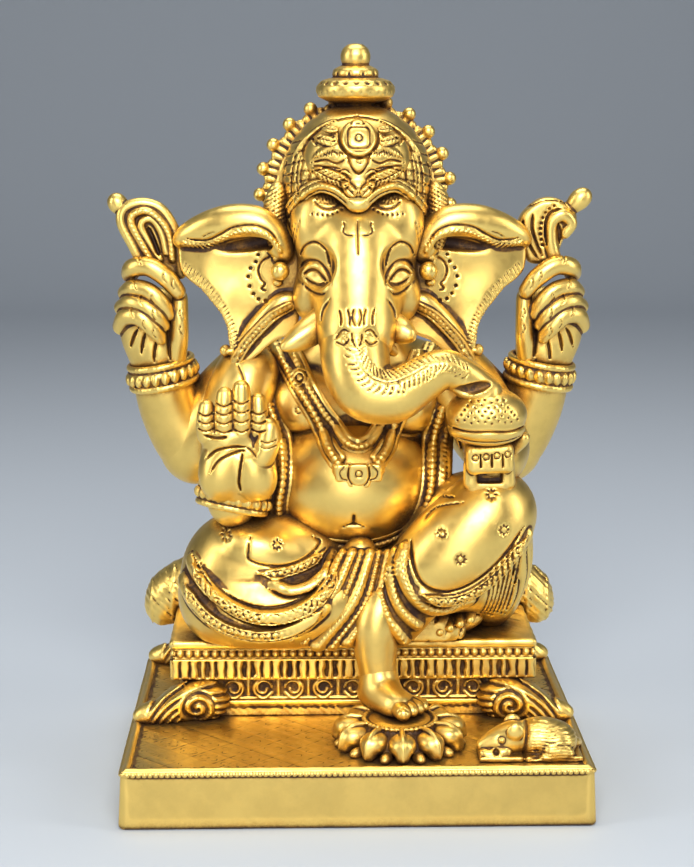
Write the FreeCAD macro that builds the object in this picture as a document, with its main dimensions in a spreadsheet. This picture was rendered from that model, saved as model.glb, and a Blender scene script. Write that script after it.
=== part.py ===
"""Brass idol of a seated, four-armed, elephant-headed figure on a footed seat and a hollow plinth.

Millimetres, +Z up, the front faces -Y, and the origin is under the middle of the plinth.
Right and left are the figure's own: its right side is at -X.
Every size is a cell of the sheet "Sizes", and each piece is bound to its cells. A casting that is
brazed to others is coped to them: what it shares with a piece made before it is cut away.
"""

import FreeCAD
import Part
import Sketcher

import math
import os

RIGHT = -1
LEFT = 1
WORK_CUBE = 400
SLIVER = 0.01

# Driving dimensions of the plinth, the seat, the fasteners, the lotus and the halo.
SIZES = {
    "plinth_wide": 142,
    "plinth_deep": 116,
    "plinth_high": 17.4,
    "plinth_draft": 3,
    "plinth_wall": 4,
    "plinth_roof": 3.4,
    "window_radius": 16,
    "seat_wide": 117,
    "seat_front": -9,
    "seat_back": 50,
    "seat_top": 43,
    "seat_wall": 5,
    "slab_thick": 3,
    "rail_high": 3.2,
    "rail_inset": 0.8,
    "apron_high": 6.8,
    "apron_inset": 0.4,
    "frieze_high": 7.4,
    "frieze_inset": 3.6,
    "skirt_inset": 2.4,
    "screw_shank": 3,
    "screw_clearance": 3.4,
    "screw_reach": 5,
    "screw_head": 5.6,
    "screw_head_high": 2,
    "stud_thick": 6,
    "stud_low": 33,
    "stud_long": 22,
    "stud_back": 16,
    "nut_wide": 11,
    "nut_high": 5,
    "lotus_x": 13.5,
    "lotus_y": -33,
    "lotus_foot": 14,
    "lotus_radius": 20.5,
    "lotus_low": 3.4,
    "lotus_lip": 2.4,
    "lotus_top": 15,
    "lotus_high": 8.4,
    "petal_gap": 1.8,
    "halo_x": 1,
    "halo_y": 17,
    "halo_z": 182,
    "halo_inside": 21,
    "halo_band": 26,
    "halo_reach": 28.6,
    "halo_thick": 4,
    "ray_radius": 1.4,
    "ray_bead": 2.2,
    "cushion_long": 112,
    "cushion_radius": 8.6,
}
PETALS = 12
HALO_RAYS = 12

# Ellipsoids: centre x, y, z, half sizes along X, Y, Z, and turns about X, Y, Z in degrees.
BALLS = {
    "chest": (0, 16, 115, 31, 17, 20, 0, 0, 0),
    "shoulders": (0, 17, 125, 38, 12, 11, 0, 0, 0),
    "neck": (1, 13, 138, 16, 12, 11, 0, 0, 0),
    "belly": (0, 8.5, 92, 27, 24.5, 22, 0, 0, 0),
    "hip_mass": (0, 16, 57, 44, 25, 21, 0, 0, 0),
    "knee": (-36.5, 0, 61.5, 19.5, 17, 18.5, 0, 0, 0),
    "calf": (-17, -4, 53, 29, 8, 9, 0, 8, 0),
    "sole": (29, -4, 48, 11, 6, 4.6, 0, 0, 0),
    "palm": (-36, -15, 106, 11.8, 5.6, 17.5, 0, 0, 0),
    "front_bangle": (-37.5, -9, 86.5, 11.5, 9, 2.8, 0, 0, 0),
    "fingers": (41, -20.5, 104, 8, 6.5, 5.6, 0, 0, 0),
    "sweet": (40, -21.5, 116.8, 12, 11, 8.4, 0, 0, 0),
    "heel": (7, -20.5, 29, 6.6, 6.2, 4.6, 0, 0, 0),
    "instep": (14, -25.5, 28, 9.8, 5.6, 3.8, 0, 0, -32),
    "skull": (2, 9, 163, 20.2, 18, 22, 0, 0, 0),
    "brow": (1.5, 0, 168, 17, 11.5, 15, 0, 0, 0),
    "cheeks": (1.5, -1, 152, 15.5, 11, 11, 0, 0, 0),
    "cap": (1.5, 9, 187, 23, 19, 23, 0, 0, 0),
    "crest": (1, -6.5, 191, 15, 4, 9.5, -14, 0, 0),
    "finial_disc": (1, 11, 213, 12, 11.6, 4, 0, 0, 0),
    "finial_cushion": (1, 11, 218.6, 6.8, 6.6, 2.8, 0, 0, 0),
    "finial_knob": (1, 11, 224.2, 4.3, 4.3, 4.2, 0, 0, 0),
    "plate": (0.5, -15.6, 96, 7, 3, 5, 0, 0, 0),
    "mouse_body": (54, -43, 22.6, 9, 6.2, 6, 0, 0, 0),
    "mouse_haunch": (60, -43, 21.4, 5.5, 6, 4.9, 0, 0, 0),
    "mouse_head": (43, -44, 22.4, 5.6, 4.4, 4.4, 0, -18, 0),
    "mouse_paws": (41, -45, 18.9, 4.5, 3, 2, 0, 0, 0),
}

# Ellipsoids that both sides have, given for the left side (+X).
PAIRED_BALLS = {
    "fist": (64.5, 14, 143, 11.2, 9.5, 16, 0, 0, 0),
    "bangle": (60.5, 17, 124.5, 11.3, 10.5, 3.2, 0, -10, 0),
    "ear_top": (36, 5, 166, 18, 3.6, 12.8, 0, 0, 0),
    "ear_lobe": (33, 4, 149, 11.5, 3.4, 19, 0, -24, 0),
    "ear_stud": (21.5, -2, 160, 3, 3, 3, 0, 0, 0),
    "roll": (23, 4, 173, 3.4, 4, 9.5, 0, 0, 0),
    "front_knuckle": (49, -8.5, 22.9, 8.6, 5.8, 6, 0, 0, 0),
    "front_toe": (60, -12, 20.3, 8, 4.2, 3.4, 0, 10, 0),
    "back_knuckle": (49, 49.5, 22.9, 8.6, 5.8, 6, 0, 0, 0),
    "back_toe": (60, 52, 20.3, 8, 4.2, 3.4, 0, 10, 0),
    "cushion_shoulder": (56, 40, 50.8, 9, 8.4, 8.4, 0, 0, 0),
    "cushion_end": (63.8, 40, 42.5, 5, 8, 11, 0, 0, 0),
    "noose_loop": (61.5, 12, 167, 9, 4.2, 13, 0, 21, 0),
    "noose_tip": (70.8, 12.4, 178.4, 3.6, 3.3, 3.3, 0, 30, 0),
    "goad_blade": (61.5, 12, 169.5, 9.6, 4.4, 11.5, 0, 14, 0),
    "goad_tip": (69.6, 12, 177.4, 4.2, 3.4, 4.2, 0, 0, 0),
}

# Limbs: a run of round stations, each x, y, z and radius.
LIMBS = {
    "thigh": ((17, 13, 64, 15), (30, -1, 75, 15.5), (41, -12, 84, 13.5)),
    "shin": ((46, -16, 88, 8), (40, -18, 84, 13), (28, -18, 72, 14), (17, -17, 58, 11.5), (10, -17, 46, 8.8)),
    "ankle": ((8, -17.5, 50, 6.4), (6.8, -18.5, 40, 6.6), (7.5, -19.5, 28, 5.8)),
    "sash": ((-27, -1, 84, 3), (-18, -12, 76, 3.2), (0, -16, 71, 3.4), (18, -12, 76, 3.2), (27, -1, 84, 3)),
    "pleats": ((4, -12, 68, 5), (-3, -13, 60, 7.6), (-10, -12.5, 53, 8.4), (-16, -11.5, 47.5, 8)),
    "right_edge": ((-31, 4, 133, 3.5), (-28, -4, 120, 4), (-24, -8, 106, 4), (-23.5, -9, 92, 4), (-24, -6, 79, 4)),
    "left_edge": ((30, 4, 133, 3.5), (27.5, -4, 120, 4), (26, -8, 106, 4), (25.5, -9, 94, 4), (26, -7, 84, 4)),
    "strand": ((-25, 2, 133, 2.4), (-17, -7, 117, 2.6), (0, -15, 104, 2.8), (17, -7, 117, 2.6), (25, 2, 133, 2.4)),
    "front_right": ((-33, 9, 124, 11), (-40, 1, 108, 11), (-40.5, -5, 95, 10), (-38, -9, 86, 8.5)),
    "front_left": ((33, 9, 124, 11), (41, 2, 112, 10.5), (45, -5, 103, 9), (43, -13, 101, 7.5)),
    "trunk": (
        (1.5, -6, 160, 11.5), (1, -14, 147, 10.6), (-0.5, -20.5, 135, 9.6), (3.5, -24, 126.3, 8.4),
        (12, -25.5, 125.6, 7.4), (20, -26, 130.8, 6), (27, -25.5, 132.6, 5.4), (33, -24, 127.5, 5.2),
    ),
    "whole_tusk": ((-7, -10, 144.5, 4.8), (-14, -14.5, 141.3, 3.8), (-20.5, -18, 138.2, 1)),
    "broken_tusk": ((9, -11, 143.5, 4.4), (14, -15, 142.3, 3.8), (18, -17.5, 141.4, 2.6)),
}

PAIRED_LIMBS = {
    "upper_arm": ((35, 20, 121, 11), (44, 21, 112, 12.5), (53, 21.5, 104, 11)),
    "forearm": ((53, 21.5, 99, 9), (56, 20.5, 107, 11), (59, 18.5, 116, 10.4), (60.5, 17, 124, 9)),
}

doc = FreeCAD.newDocument("GaneshaIdol")
sheet = doc.addObject("Spreadsheet::Sheet", "Sizes")
parts = {}


def size(alias):
    return float(sheet.get(alias))


def cos_of(degrees):
    return math.cos(math.radians(degrees))


def sin_of(degrees):
    return math.sin(math.radians(degrees))


def fill_sheet():
    """One row per size: its name in column A, its number in column B under that alias."""
    cells = dict(SIZES)
    for table in (BALLS, PAIRED_BALLS):
        for name, row in table.items():
            for key, number in zip(("x", "y", "z", "wide", "deep", "high"), row):
                cells[f"{name}_{key}"] = number
    for table in (LIMBS, PAIRED_LIMBS):
        for name, stations in table.items():
            for i, station in enumerate(stations, 1):
                for key, number in zip(("x", "y", "z", "thick"), station):
                    cells[f"{name}_{i}_{key}"] = number
    for row, (alias, number) in enumerate(cells.items(), 1):
        sheet.set(f"A{row}", alias)
        sheet.set(f"B{row}", str(number))
        sheet.setAlias(f"B{row}", alias)
    doc.recompute()


# ---------------------------------------------------------------- building blocks


def side_name(side):
    return "right" if side < 0 else "left"


def put(thing, x, y, z, rotation=None):
    """Places a thing at three formulas."""
    if rotation is not None:
        thing.Placement = FreeCAD.Placement(FreeCAD.Vector(), rotation)
    for axis, formula in zip("xyz", (x, y, z)):
        thing.setExpression(f"Placement.Base.{axis}", formula)
    return thing


def ball(name, side=None):
    """An ellipsoid from BALLS, or from PAIRED_BALLS on one side."""
    row = BALLS[name] if side is None else PAIRED_BALLS[name]
    tag = "" if side is None else side_name(side)
    flip = side or 1
    thing = doc.addObject("Part::Ellipsoid", f"ball_{name}_{tag}")
    for prop, key in (("Radius1", "high"), ("Radius2", "wide"), ("Radius3", "deep")):
        thing.setExpression(prop, f"Sizes.{name}_{key}")
    about_x, about_y, about_z = row[6:]
    rotation = FreeCAD.Rotation(flip * about_z, flip * about_y, about_x)
    return put(thing, f"{flip} * Sizes.{name}_x", f"Sizes.{name}_y", f"Sizes.{name}_z", rotation)


def limb(name, side=None):
    """A smooth solid through the round stations of a limb, with each circle square to the path."""
    stations = LIMBS[name] if side is None else PAIRED_LIMBS[name]
    tag = "" if side is None else side_name(side)
    flip = side or 1
    points = [FreeCAD.Vector(flip * x, y, z) for x, y, z, _ in stations]
    last = len(points) - 1
    turn = FreeCAD.Rotation()
    sections = []
    for i in range(len(points)):
        along = (points[min(i + 1, last)] - points[max(i - 1, 0)]).normalize()
        turn = FreeCAD.Rotation(turn.multVec(FreeCAD.Vector(0, 0, 1)), along).multiply(turn)
        station = doc.addObject("Part::Circle", f"station_{name}_{tag}_{i + 1}")
        cell = f"Sizes.{name}_{i + 1}"
        station.setExpression("Radius", f"{cell}_thick")
        put(station, f"{flip} * {cell}_x", f"{cell}_y", f"{cell}_z", turn)
        sections.append(station)
    loft = doc.addObject("Part::Loft", f"limb_{name}_{tag}")
    loft.Sections = sections
    loft.Solid = True
    return loft


def cylinder(name, radius, height, x, y, z, rotation=None):
    thing = doc.addObject("Part::Cylinder", name)
    thing.setExpression("Radius", radius)
    thing.setExpression("Height", height)
    return put(thing, x, y, z, rotation)


def fuse(name, pieces):
    whole = doc.addObject("Part::MultiFuse", name)
    whole.Shapes = pieces
    return whole


def cut(name, base, tool):
    rest = doc.addObject("Part::Cut", name)
    rest.Base = base
    rest.Tool = tool
    return rest


def above(name, level, thing):
    """The part of a thing that stands above a level."""
    slab = doc.addObject("Part::Box", f"above_{name}")
    slab.Length = slab.Width = slab.Height = WORK_CUBE
    put(slab, str(-WORK_CUBE / 2), str(-WORK_CUBE / 2), level)
    upper = doc.addObject("Part::MultiCommon", f"upper_{name}")
    upper.Shapes = [thing, slab]
    return upper


def finish(label, thing):
    """Names a sub-part. What it shares with the pieces made before it is cut away first."""
    doc.recompute()
    for other_label, other in list(parts.items()):
        if not thing.Shape.BoundBox.intersect(other.Shape.BoundBox):
            continue
        if thing.Shape.common(other.Shape).Volume > SLIVER:
            thing = cut(f"{label}_less_{other_label}", thing, other)
            doc.recompute()
            if thing.Shape.isNull():
                raise RuntimeError(f"{label} can't be coped to {other_label}")
    thing.Label = label
    parts[label] = thing
    return thing


def new_sketch(body, name, role, height="0"):
    """A sketch on one of the body's own origin planes, lifted off it by a formula."""
    flat = body.newObject("Sketcher::SketchObject", name)
    plane = next(f for f in body.Origin.OriginFeatures if f.Role == role)
    flat.AttachmentSupport = [(plane, "")]
    flat.MapMode = "FlatFace"
    flat.setExpression("AttachmentOffset.Base.z", height)
    return flat


def hold(flat, index, corner, formulas, numbers):
    """Holds one point of a sketch at two formulas from the sketch's origin."""
    for kind, axis, formula, number in zip(("DistanceX", "DistanceY"), (-2, -1), formulas, numbers):
        if abs(number) < 1e-9:
            flat.addConstraint(Sketcher.Constraint("PointOnObject", index, corner, axis))
            continue
        held = flat.addConstraint(Sketcher.Constraint(kind, -1, 1, index, corner, number))
        flat.setExpression(f"Constraints[{held}]", formula)


def outline(flat, corners):
    """A closed run of lines. Each corner is a pair of formulas."""
    spots = [[float(flat.evalExpression(f)) for f in corner] for corner in corners]
    count = len(corners)
    first = flat.GeometryCount
    for i in range(count):
        start, end = spots[i], spots[(i + 1) % count]
        flat.addGeometry(Part.LineSegment(FreeCAD.Vector(*start, 0), FreeCAD.Vector(*end, 0)), False)
    for i in range(count):
        following = first + (i + 1) % count
        flat.addConstraint(Sketcher.Constraint("Coincident", first + i, 2, following, 1))
        hold(flat, first + i, 1, corners[i], spots[i])


def rectangle(flat, x_low, y_low, x_high, y_high):
    outline(flat, ((x_low, y_low), (x_high, y_low), (x_high, y_high), (x_low, y_high)))


def ring(flat, radius, x="0", y="0"):
    """A circle, held by its centre and radius."""
    middle = [float(flat.evalExpression(f)) for f in (x, y)]
    reach = float(flat.evalExpression(radius))
    circle = Part.Circle(FreeCAD.Vector(*middle, 0), FreeCAD.Vector(0, 0, 1), reach)
    index = flat.addGeometry(circle, False)
    held = flat.addConstraint(Sketcher.Constraint("Radius", index, reach))
    flat.setExpression(f"Constraints[{held}]", radius)
    hold(flat, index, 3, (x, y), middle)


def feature(body, kind, name, flat, length, back=False):
    """A pad or a pocket of a sketch, to a length."""
    made = body.newObject(f"PartDesign::{kind}", name)
    made.Profile = flat
    made.setExpression("Length", length)
    made.Reversed = back
    return made


def axis_of(body, role):
    return (next(f for f in body.Origin.OriginFeatures if f.Role == role), [""])


# ---------------------------------------------------------------- plinth, seat and fasteners

SCREW_X = "(Sizes.seat_wide / 2 - Sizes.skirt_inset - Sizes.seat_wall / 2)"
SCREW_Y = (
    "(Sizes.seat_front + Sizes.skirt_inset + Sizes.seat_wall / 2)",
    "(Sizes.seat_back - Sizes.skirt_inset - Sizes.seat_wall / 2)",
)
SCREW_SPOTS = [(f"{side} * {SCREW_X}", y) for side in (RIGHT, LEFT) for y in SCREW_Y]


def make_plinth():
    """A tray-shaped casting, open underneath, with a window for reaching the nut of the figure."""
    body = doc.addObject("PartDesign::Body", "plinth_body")
    half_wide, half_deep = "Sizes.plinth_wide / 2", "Sizes.plinth_deep / 2"
    block = new_sketch(body, "plinth_outline", "XY_Plane")
    rectangle(block, f"-{half_wide}", f"-{half_deep}", half_wide, half_deep)
    feature(body, "Pad", "plinth_block", block, "Sizes.plinth_high").TaperAngle = -size("plinth_draft")
    hollow = new_sketch(body, "plinth_hollow", "XY_Plane")
    wall = "Sizes.plinth_wall"
    rectangle(hollow, f"{wall} - {half_wide}", f"{wall} - {half_deep}", f"{half_wide} - {wall}", f"{half_deep} - {wall}")
    feature(body, "Pocket", "plinth_cavity", hollow, "Sizes.plinth_high - Sizes.plinth_roof", True)
    holes = new_sketch(body, "plinth_holes", "XY_Plane")
    ring(holes, "Sizes.window_radius", "0", "Sizes.stud_back")
    for x, y in SCREW_SPOTS:
        ring(holes, "Sizes.screw_clearance / 2", x, y)
    feature(body, "Pocket", "plinth_drilling", holes, "Sizes.plinth_high", True)
    finish("plinth", body)


def seat_frame(label, low, high, inset, open_inside=True):
    """One course of the seat: a rectangle at a height, inset from the slab's outline."""
    body = doc.addObject("PartDesign::Body", f"{label}_body")
    flat = new_sketch(body, f"{label}_outline", "XY_Plane", low)
    x, front, back = f"Sizes.seat_wide / 2 - {inset}", f"Sizes.seat_front + {inset}", f"Sizes.seat_back - {inset}"
    rectangle(flat, f"-({x})", front, x, back)
    if open_inside:
        wall = "Sizes.seat_wall"
        rectangle(flat, f"{wall} - ({x})", f"{front} + {wall}", f"{x} - {wall}", f"{back} - {wall}")
    feature(body, "Pad", f"{label}_pad", flat, f"{high} - ({low})")
    return body


def make_seat():
    """Slab, bead rail, apron, frieze and skirt, from the top down."""
    slab_low = "Sizes.seat_top - Sizes.slab_thick"
    rail_low = f"{slab_low} - Sizes.rail_high"
    apron_low = f"{rail_low} - Sizes.apron_high"
    frieze_low = f"{apron_low} - Sizes.frieze_high"

    slab = seat_frame("seat_slab", slab_low, "Sizes.seat_top", "0", open_inside=False)
    hole = new_sketch(slab, "slab_hole", "XY_Plane")
    ring(hole, "Sizes.stud_thick / 2", "0", "Sizes.stud_back")
    feature(slab, "Pocket", "slab_drilling", hole, "Sizes.seat_top", True)
    finish("seat_slab", slab)

    rail = seat_frame("seat_bead_rail", rail_low, slab_low, "Sizes.rail_inset")
    finish("seat_bead_rail", rail)

    apron = seat_frame("seat_apron", apron_low, rail_low, "Sizes.apron_inset")
    finish("seat_apron", apron)

    finish("seat_frieze", seat_frame("seat_frieze", frieze_low, apron_low, "Sizes.frieze_inset"))

    skirt = seat_frame("seat_skirt", "Sizes.plinth_high", frieze_low, "Sizes.skirt_inset")
    tapped = new_sketch(skirt, "skirt_holes", "XY_Plane")
    for x, y in SCREW_SPOTS:
        ring(tapped, "Sizes.screw_shank / 2", x, y)
    feature(skirt, "Pocket", "skirt_drilling", tapped, "Sizes.seat_top", True)
    finish("seat_skirt", skirt)


def make_fasteners():
    """Four screws up through the plinth into the skirt, and the stud and nut of the figure."""
    screws = []
    roof_low = "Sizes.plinth_high - Sizes.plinth_roof"
    for i, (x, y) in enumerate(SCREW_SPOTS, 1):
        reach = "Sizes.plinth_roof + Sizes.screw_reach"
        shank = cylinder(f"shank_{i}", "Sizes.screw_shank / 2", reach, x, y, roof_low)
        head_low = f"{roof_low} - Sizes.screw_head_high"
        head = cylinder(f"head_{i}", "Sizes.screw_head / 2", "Sizes.screw_head_high", x, y, head_low)
        screws.append(fuse(f"screw_{i}", [shank, head]))
    group = doc.addObject("Part::Compound", "screw_group")
    group.Links = screws
    finish("seat_screws", group)

    stud = cylinder("stud", "Sizes.stud_thick / 2", "Sizes.stud_long", "0", "Sizes.stud_back", "Sizes.stud_low")
    finish("figure_stud", stud)
    nut = doc.addObject("Part::Prism", "nut_hexagon")
    nut.Polygon = 6
    nut.setExpression("Circumradius", "Sizes.nut_wide / sqrt(3)")
    nut.setExpression("Height", "Sizes.nut_high")
    put(nut, "0", "Sizes.stud_back", "Sizes.seat_top - Sizes.slab_thick - Sizes.nut_high")
    finish("figure_nut", nut)


def make_seat_feet():
    for end in ("front", "back"):
        for side in (RIGHT, LEFT):
            name = f"seat_foot_{end}_{side_name(side)}"
            paw = fuse(f"{name}_paw", [ball(f"{end}_knuckle", side), ball(f"{end}_toe", side)])
            finish(name, above(name, "Sizes.plinth_high", paw))


def make_lotus():
    """A turned cushion with notches that part its petals."""
    body = doc.addObject("PartDesign::Body", "lotus_body")
    flat = new_sketch(body, "lotus_profile", "XZ_Plane")
    low, high = "Sizes.lotus_low", "Sizes.lotus_high"
    outline(flat, (
        ("0", "0"),
        ("Sizes.lotus_foot", "0"),
        ("Sizes.lotus_radius", low),
        ("Sizes.lotus_radius", f"{low} + Sizes.lotus_lip"),
        ("Sizes.lotus_top", high),
        ("0", high),
    ))
    turned = body.newObject("PartDesign::Revolution", "lotus_turning")
    turned.Profile = flat
    turned.ReferenceAxis = axis_of(body, "Z_Axis")
    notch = new_sketch(body, "petal_gap", "XY_Plane")
    inner = "Sizes.lotus_radius - Sizes.petal_gap"
    outline(notch, (
        (inner, "0"),
        ("Sizes.lotus_radius + 1", "-Sizes.petal_gap"),
        ("Sizes.lotus_radius + 1", "Sizes.petal_gap"),
    ))
    gap = feature(body, "Pocket", "petal_notch", notch, high, True)
    row = body.newObject("PartDesign::PolarPattern", "petal_notches")
    row.Originals = [gap]
    row.Axis = axis_of(body, "Z_Axis")
    row.Angle = 360
    row.Occurrences = PETALS
    body.Tip = row
    finish("lotus_footrest", put(body, "Sizes.lotus_x", "Sizes.lotus_y", "Sizes.plinth_high"))


def make_mouse():
    whole = fuse("mouse_whole", [ball(f"mouse_{name}") for name in ("body", "haunch", "head", "paws")])
    finish("mouse", above("mouse", "Sizes.plinth_high", whole))


# ---------------------------------------------------------------- figure


def make_trunk_of_body():
    torso = fuse("torso_whole", [ball("chest"), ball("shoulders"), ball("neck"), ball("belly")])
    finish("torso", torso)
    finish("hips", above("hips", "Sizes.seat_top", ball("hip_mass")))
    finish("bolster", make_bolster())


def make_bolster():
    """A roll that lies across the seat, with ends that droop past its sides."""
    across = FreeCAD.Rotation(FreeCAD.Vector(0, 1, 0), 90)
    y, z = "Sizes.cushion_shoulder_y", "Sizes.cushion_shoulder_z"
    pieces = [cylinder("roll", "Sizes.cushion_radius", "Sizes.cushion_long", "-Sizes.cushion_long / 2", y, z, across)]
    pieces += [ball("cushion_shoulder", side) for side in (RIGHT, LEFT)]
    top = above("bolster_top", "Sizes.seat_top", fuse("bolster_roll", pieces))
    return fuse("bolster_whole", [top] + [ball("cushion_end", side) for side in (RIGHT, LEFT)])


def make_legs():
    finish("left_shin", limb("shin"))
    finish("left_thigh", limb("thigh"))
    finish("left_ankle", limb("ankle"))
    bare = fuse("bare_foot", [ball("heel"), ball("instep")])
    finish("left_foot", above("left_foot", "Sizes.plinth_high + Sizes.lotus_high", bare))
    folded = fuse("folded_leg", [ball("knee"), ball("calf")])
    finish("right_leg", above("right_leg", "Sizes.seat_top", folded))
    finish("right_foot", above("right_foot", "Sizes.seat_top", ball("sole")))
    finish("robe_pleats", above("robe_pleats", "Sizes.seat_top", limb("pleats")))


def make_rear_arms():
    for side in (RIGHT, LEFT):
        name = side_name(side)
        finish(f"rear_{name}_upper_arm", limb("upper_arm", side))
        finish(f"rear_{name}_forearm", limb("forearm", side))
        finish(f"rear_{name}_fist", ball("fist", side))
        finish(f"rear_{name}_bangle", ball("bangle", side))
    finish("noose", fuse("noose_whole", [ball("noose_loop", RIGHT), ball("noose_tip", RIGHT)]))
    finish("goad", fuse("goad_whole", [ball("goad_blade", LEFT), ball("goad_tip", LEFT)]))


def make_front_arms():
    finish("front_right_arm", limb("front_right"))
    finish("open_palm", ball("palm"))
    finish("front_right_bangle", ball("front_bangle"))
    finish("front_left_arm", limb("front_left"))
    finish("holding_hand", ball("fingers"))
    finish("sweet", ball("sweet"))


def make_head():
    finish("head", fuse("head_whole", [ball("skull"), ball("brow"), ball("cheeks")]))
    finish("trunk", limb("trunk"))
    finish("right_tusk", limb("whole_tusk"))
    finish("left_tusk", limb("broken_tusk"))
    for side in (RIGHT, LEFT):
        name = side_name(side)
        whole = fuse(f"{name}_ear_whole", [ball("ear_top", side), ball("ear_lobe", side)])
        finish(f"{name}_ear", whole)
    finish_pair("ear_studs", "ear_stud")


def finish_pair(label, name):
    """A right and a left piece in one node."""
    group = doc.addObject("Part::Compound", f"{label}_pair")
    group.Links = [ball(name, RIGHT), ball(name, LEFT)]
    finish(label, group)


def make_crown():
    finish("crown", ball("cap"))
    finish("crown_crest", ball("crest"))
    finish_pair("crown_rolls", "roll")
    finish("crown_finial", fuse("finial_whole", [ball(f"finial_{name}") for name in ("disc", "cushion", "knob")]))
    finish("halo", make_halo())


def make_halo():
    """Half a ring behind the crown, with beaded rays standing out of it."""
    lean = FreeCAD.Rotation(FreeCAD.Vector(1, 0, 0), 90)
    front = "Sizes.halo_y + Sizes.halo_thick / 2"
    centre = ("Sizes.halo_x", front, "Sizes.halo_z")
    band = cylinder("halo_band_disc", "Sizes.halo_band", "Sizes.halo_thick", *centre, lean)
    band.Angle = 180
    bore = cylinder("halo_bore", "Sizes.halo_inside", "Sizes.halo_thick", *centre, lean)
    pieces = [cut("halo_half_ring", band, bore)]
    for i in range(HALO_RAYS):
        angle = 180 * (i + 0.5) / HALO_RAYS
        out = FreeCAD.Rotation(FreeCAD.Vector(0, 0, 1), FreeCAD.Vector(cos_of(angle), 0, sin_of(angle)))
        for name, reach in (("ray", "Sizes.halo_inside + 1"), ("bead", "Sizes.halo_reach")):
            x = f"Sizes.halo_x + ({reach}) * cos({angle})"
            z = f"Sizes.halo_z + ({reach}) * sin({angle})"
            if name == "ray":
                length = "Sizes.halo_reach - Sizes.halo_inside"
                pieces.append(cylinder(f"ray_{i + 1}", "Sizes.ray_radius", length, x, "Sizes.halo_y", z, out))
            else:
                bead = doc.addObject("Part::Sphere", f"bead_{i + 1}")
                bead.setExpression("Radius", "Sizes.ray_bead")
                pieces.append(put(bead, x, "Sizes.halo_y", z))
    return fuse("halo_whole", pieces)


def make_ornaments():
    """Cloth edges, necklace and pendant that lie on the body."""
    finish("waist_sash", limb("sash"))
    finish("right_shawl", limb("right_edge"))
    finish("left_shawl", limb("left_edge"))
    finish("necklace", limb("strand"))
    finish("pendant", ball("plate"))


# ---------------------------------------------------------------- whole object


def check_model():
    """Stops with a message if any object failed or any sub-part's solid is unsound."""
    doc.recompute()
    bad = [o.Name for o in doc.Objects if "Invalid" in o.State or "Error" in o.State]
    for label, thing in parts.items():
        shape = thing.Shape
        if shape.isNull() or not shape.isValid() or not shape.Solids:
            bad.append(label)
    if bad:
        raise RuntimeError(f"unsound: {bad}")


def write_parts():
    os.makedirs("parts", exist_ok=True)
    for label, thing in parts.items():
        thing.Shape.exportStep(f"parts/{label}.step")
        print(f"{label}: {len(thing.Shape.Solids)} solids, {thing.Shape.Volume / 1000:.2f} cm3")


fill_sheet()
make_plinth()
make_seat()
make_fasteners()
make_seat_feet()
make_lotus()
make_mouse()
make_trunk_of_body()
make_legs()
make_rear_arms()
make_front_arms()
make_head()
make_crown()
make_ornaments()
check_model()
write_parts()
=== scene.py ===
import math

import bmesh
import bpy
import numpy as np
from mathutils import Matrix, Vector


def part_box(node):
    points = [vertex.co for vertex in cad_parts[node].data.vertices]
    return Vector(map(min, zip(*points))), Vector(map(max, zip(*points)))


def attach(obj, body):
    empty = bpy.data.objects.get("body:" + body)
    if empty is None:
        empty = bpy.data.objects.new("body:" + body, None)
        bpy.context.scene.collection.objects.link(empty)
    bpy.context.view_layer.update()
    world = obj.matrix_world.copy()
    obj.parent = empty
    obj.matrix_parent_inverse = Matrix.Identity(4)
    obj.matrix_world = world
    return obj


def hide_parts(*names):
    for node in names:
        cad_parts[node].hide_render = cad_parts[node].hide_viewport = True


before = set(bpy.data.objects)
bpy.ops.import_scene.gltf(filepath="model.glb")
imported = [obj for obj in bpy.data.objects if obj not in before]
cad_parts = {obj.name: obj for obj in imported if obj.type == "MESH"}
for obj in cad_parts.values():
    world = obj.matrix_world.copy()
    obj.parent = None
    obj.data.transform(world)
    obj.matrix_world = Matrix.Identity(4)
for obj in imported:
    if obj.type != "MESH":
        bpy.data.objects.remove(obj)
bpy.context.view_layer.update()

import openvdb
from mathutils import Vector

# A brass idol: a seated elephant-headed figure on a throne and a plinth.
# Shapes are worked out in millimetres, in the frame's axes, and turned into metres as meshes.
# Right and left are the figure's own: its right side is at -X, and it faces -Y.

MM = 0.001
FAR = 6.0
FINE = 0.36
RIGHT, LEFT = -1, 1


def box_mm(node):
    """Lowest and highest corner of a CAD node, in millimetres."""
    low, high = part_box(node)
    return np.array(low) / MM, np.array(high) / MM


# ---------------------------------------------------------------- smooth curves and small maths


def mirrored(points, side):
    """The same points on the other side of the figure when side is RIGHT."""
    return [(side * p[0],) + tuple(p[1:]) for p in points]


def curve(points, per_span=8):
    """Points along a Catmull-Rom curve through the given rows of numbers."""
    rows = np.array(points, float)
    if len(rows) < 3:
        steps = np.linspace(0, 1, per_span + 1)[:, None]
        return rows[0] * (1 - steps) + rows[-1] * steps
    ends = np.vstack([2 * rows[0] - rows[1], rows, 2 * rows[-1] - rows[-2]])
    out = []
    for i in range(1, len(ends) - 2):
        a, b, c, d = ends[i - 1], ends[i], ends[i + 1], ends[i + 2]
        for s in np.arange(per_span) / per_span:
            out.append(0.5 * (2 * b + (c - a) * s + (2 * a - 5 * b + 4 * c - d) * s * s
                              + (3 * b - a - 3 * c + d) * s ** 3))
    out.append(rows[-1])
    return np.array(out)


def evenly(points, pitch):
    """Points at an even spacing along a run of points."""
    rows = np.array(points, float)
    steps = np.linalg.norm(np.diff(rows[:, :3], axis=0), axis=1)
    along = np.concatenate([[0], np.cumsum(steps)])
    count = max(int(round(along[-1] / pitch)), 1)
    spots = np.linspace(0, along[-1], count + 1)
    return np.stack([np.interp(spots, along, rows[:, i]) for i in range(rows.shape[1])], 1)


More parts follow.
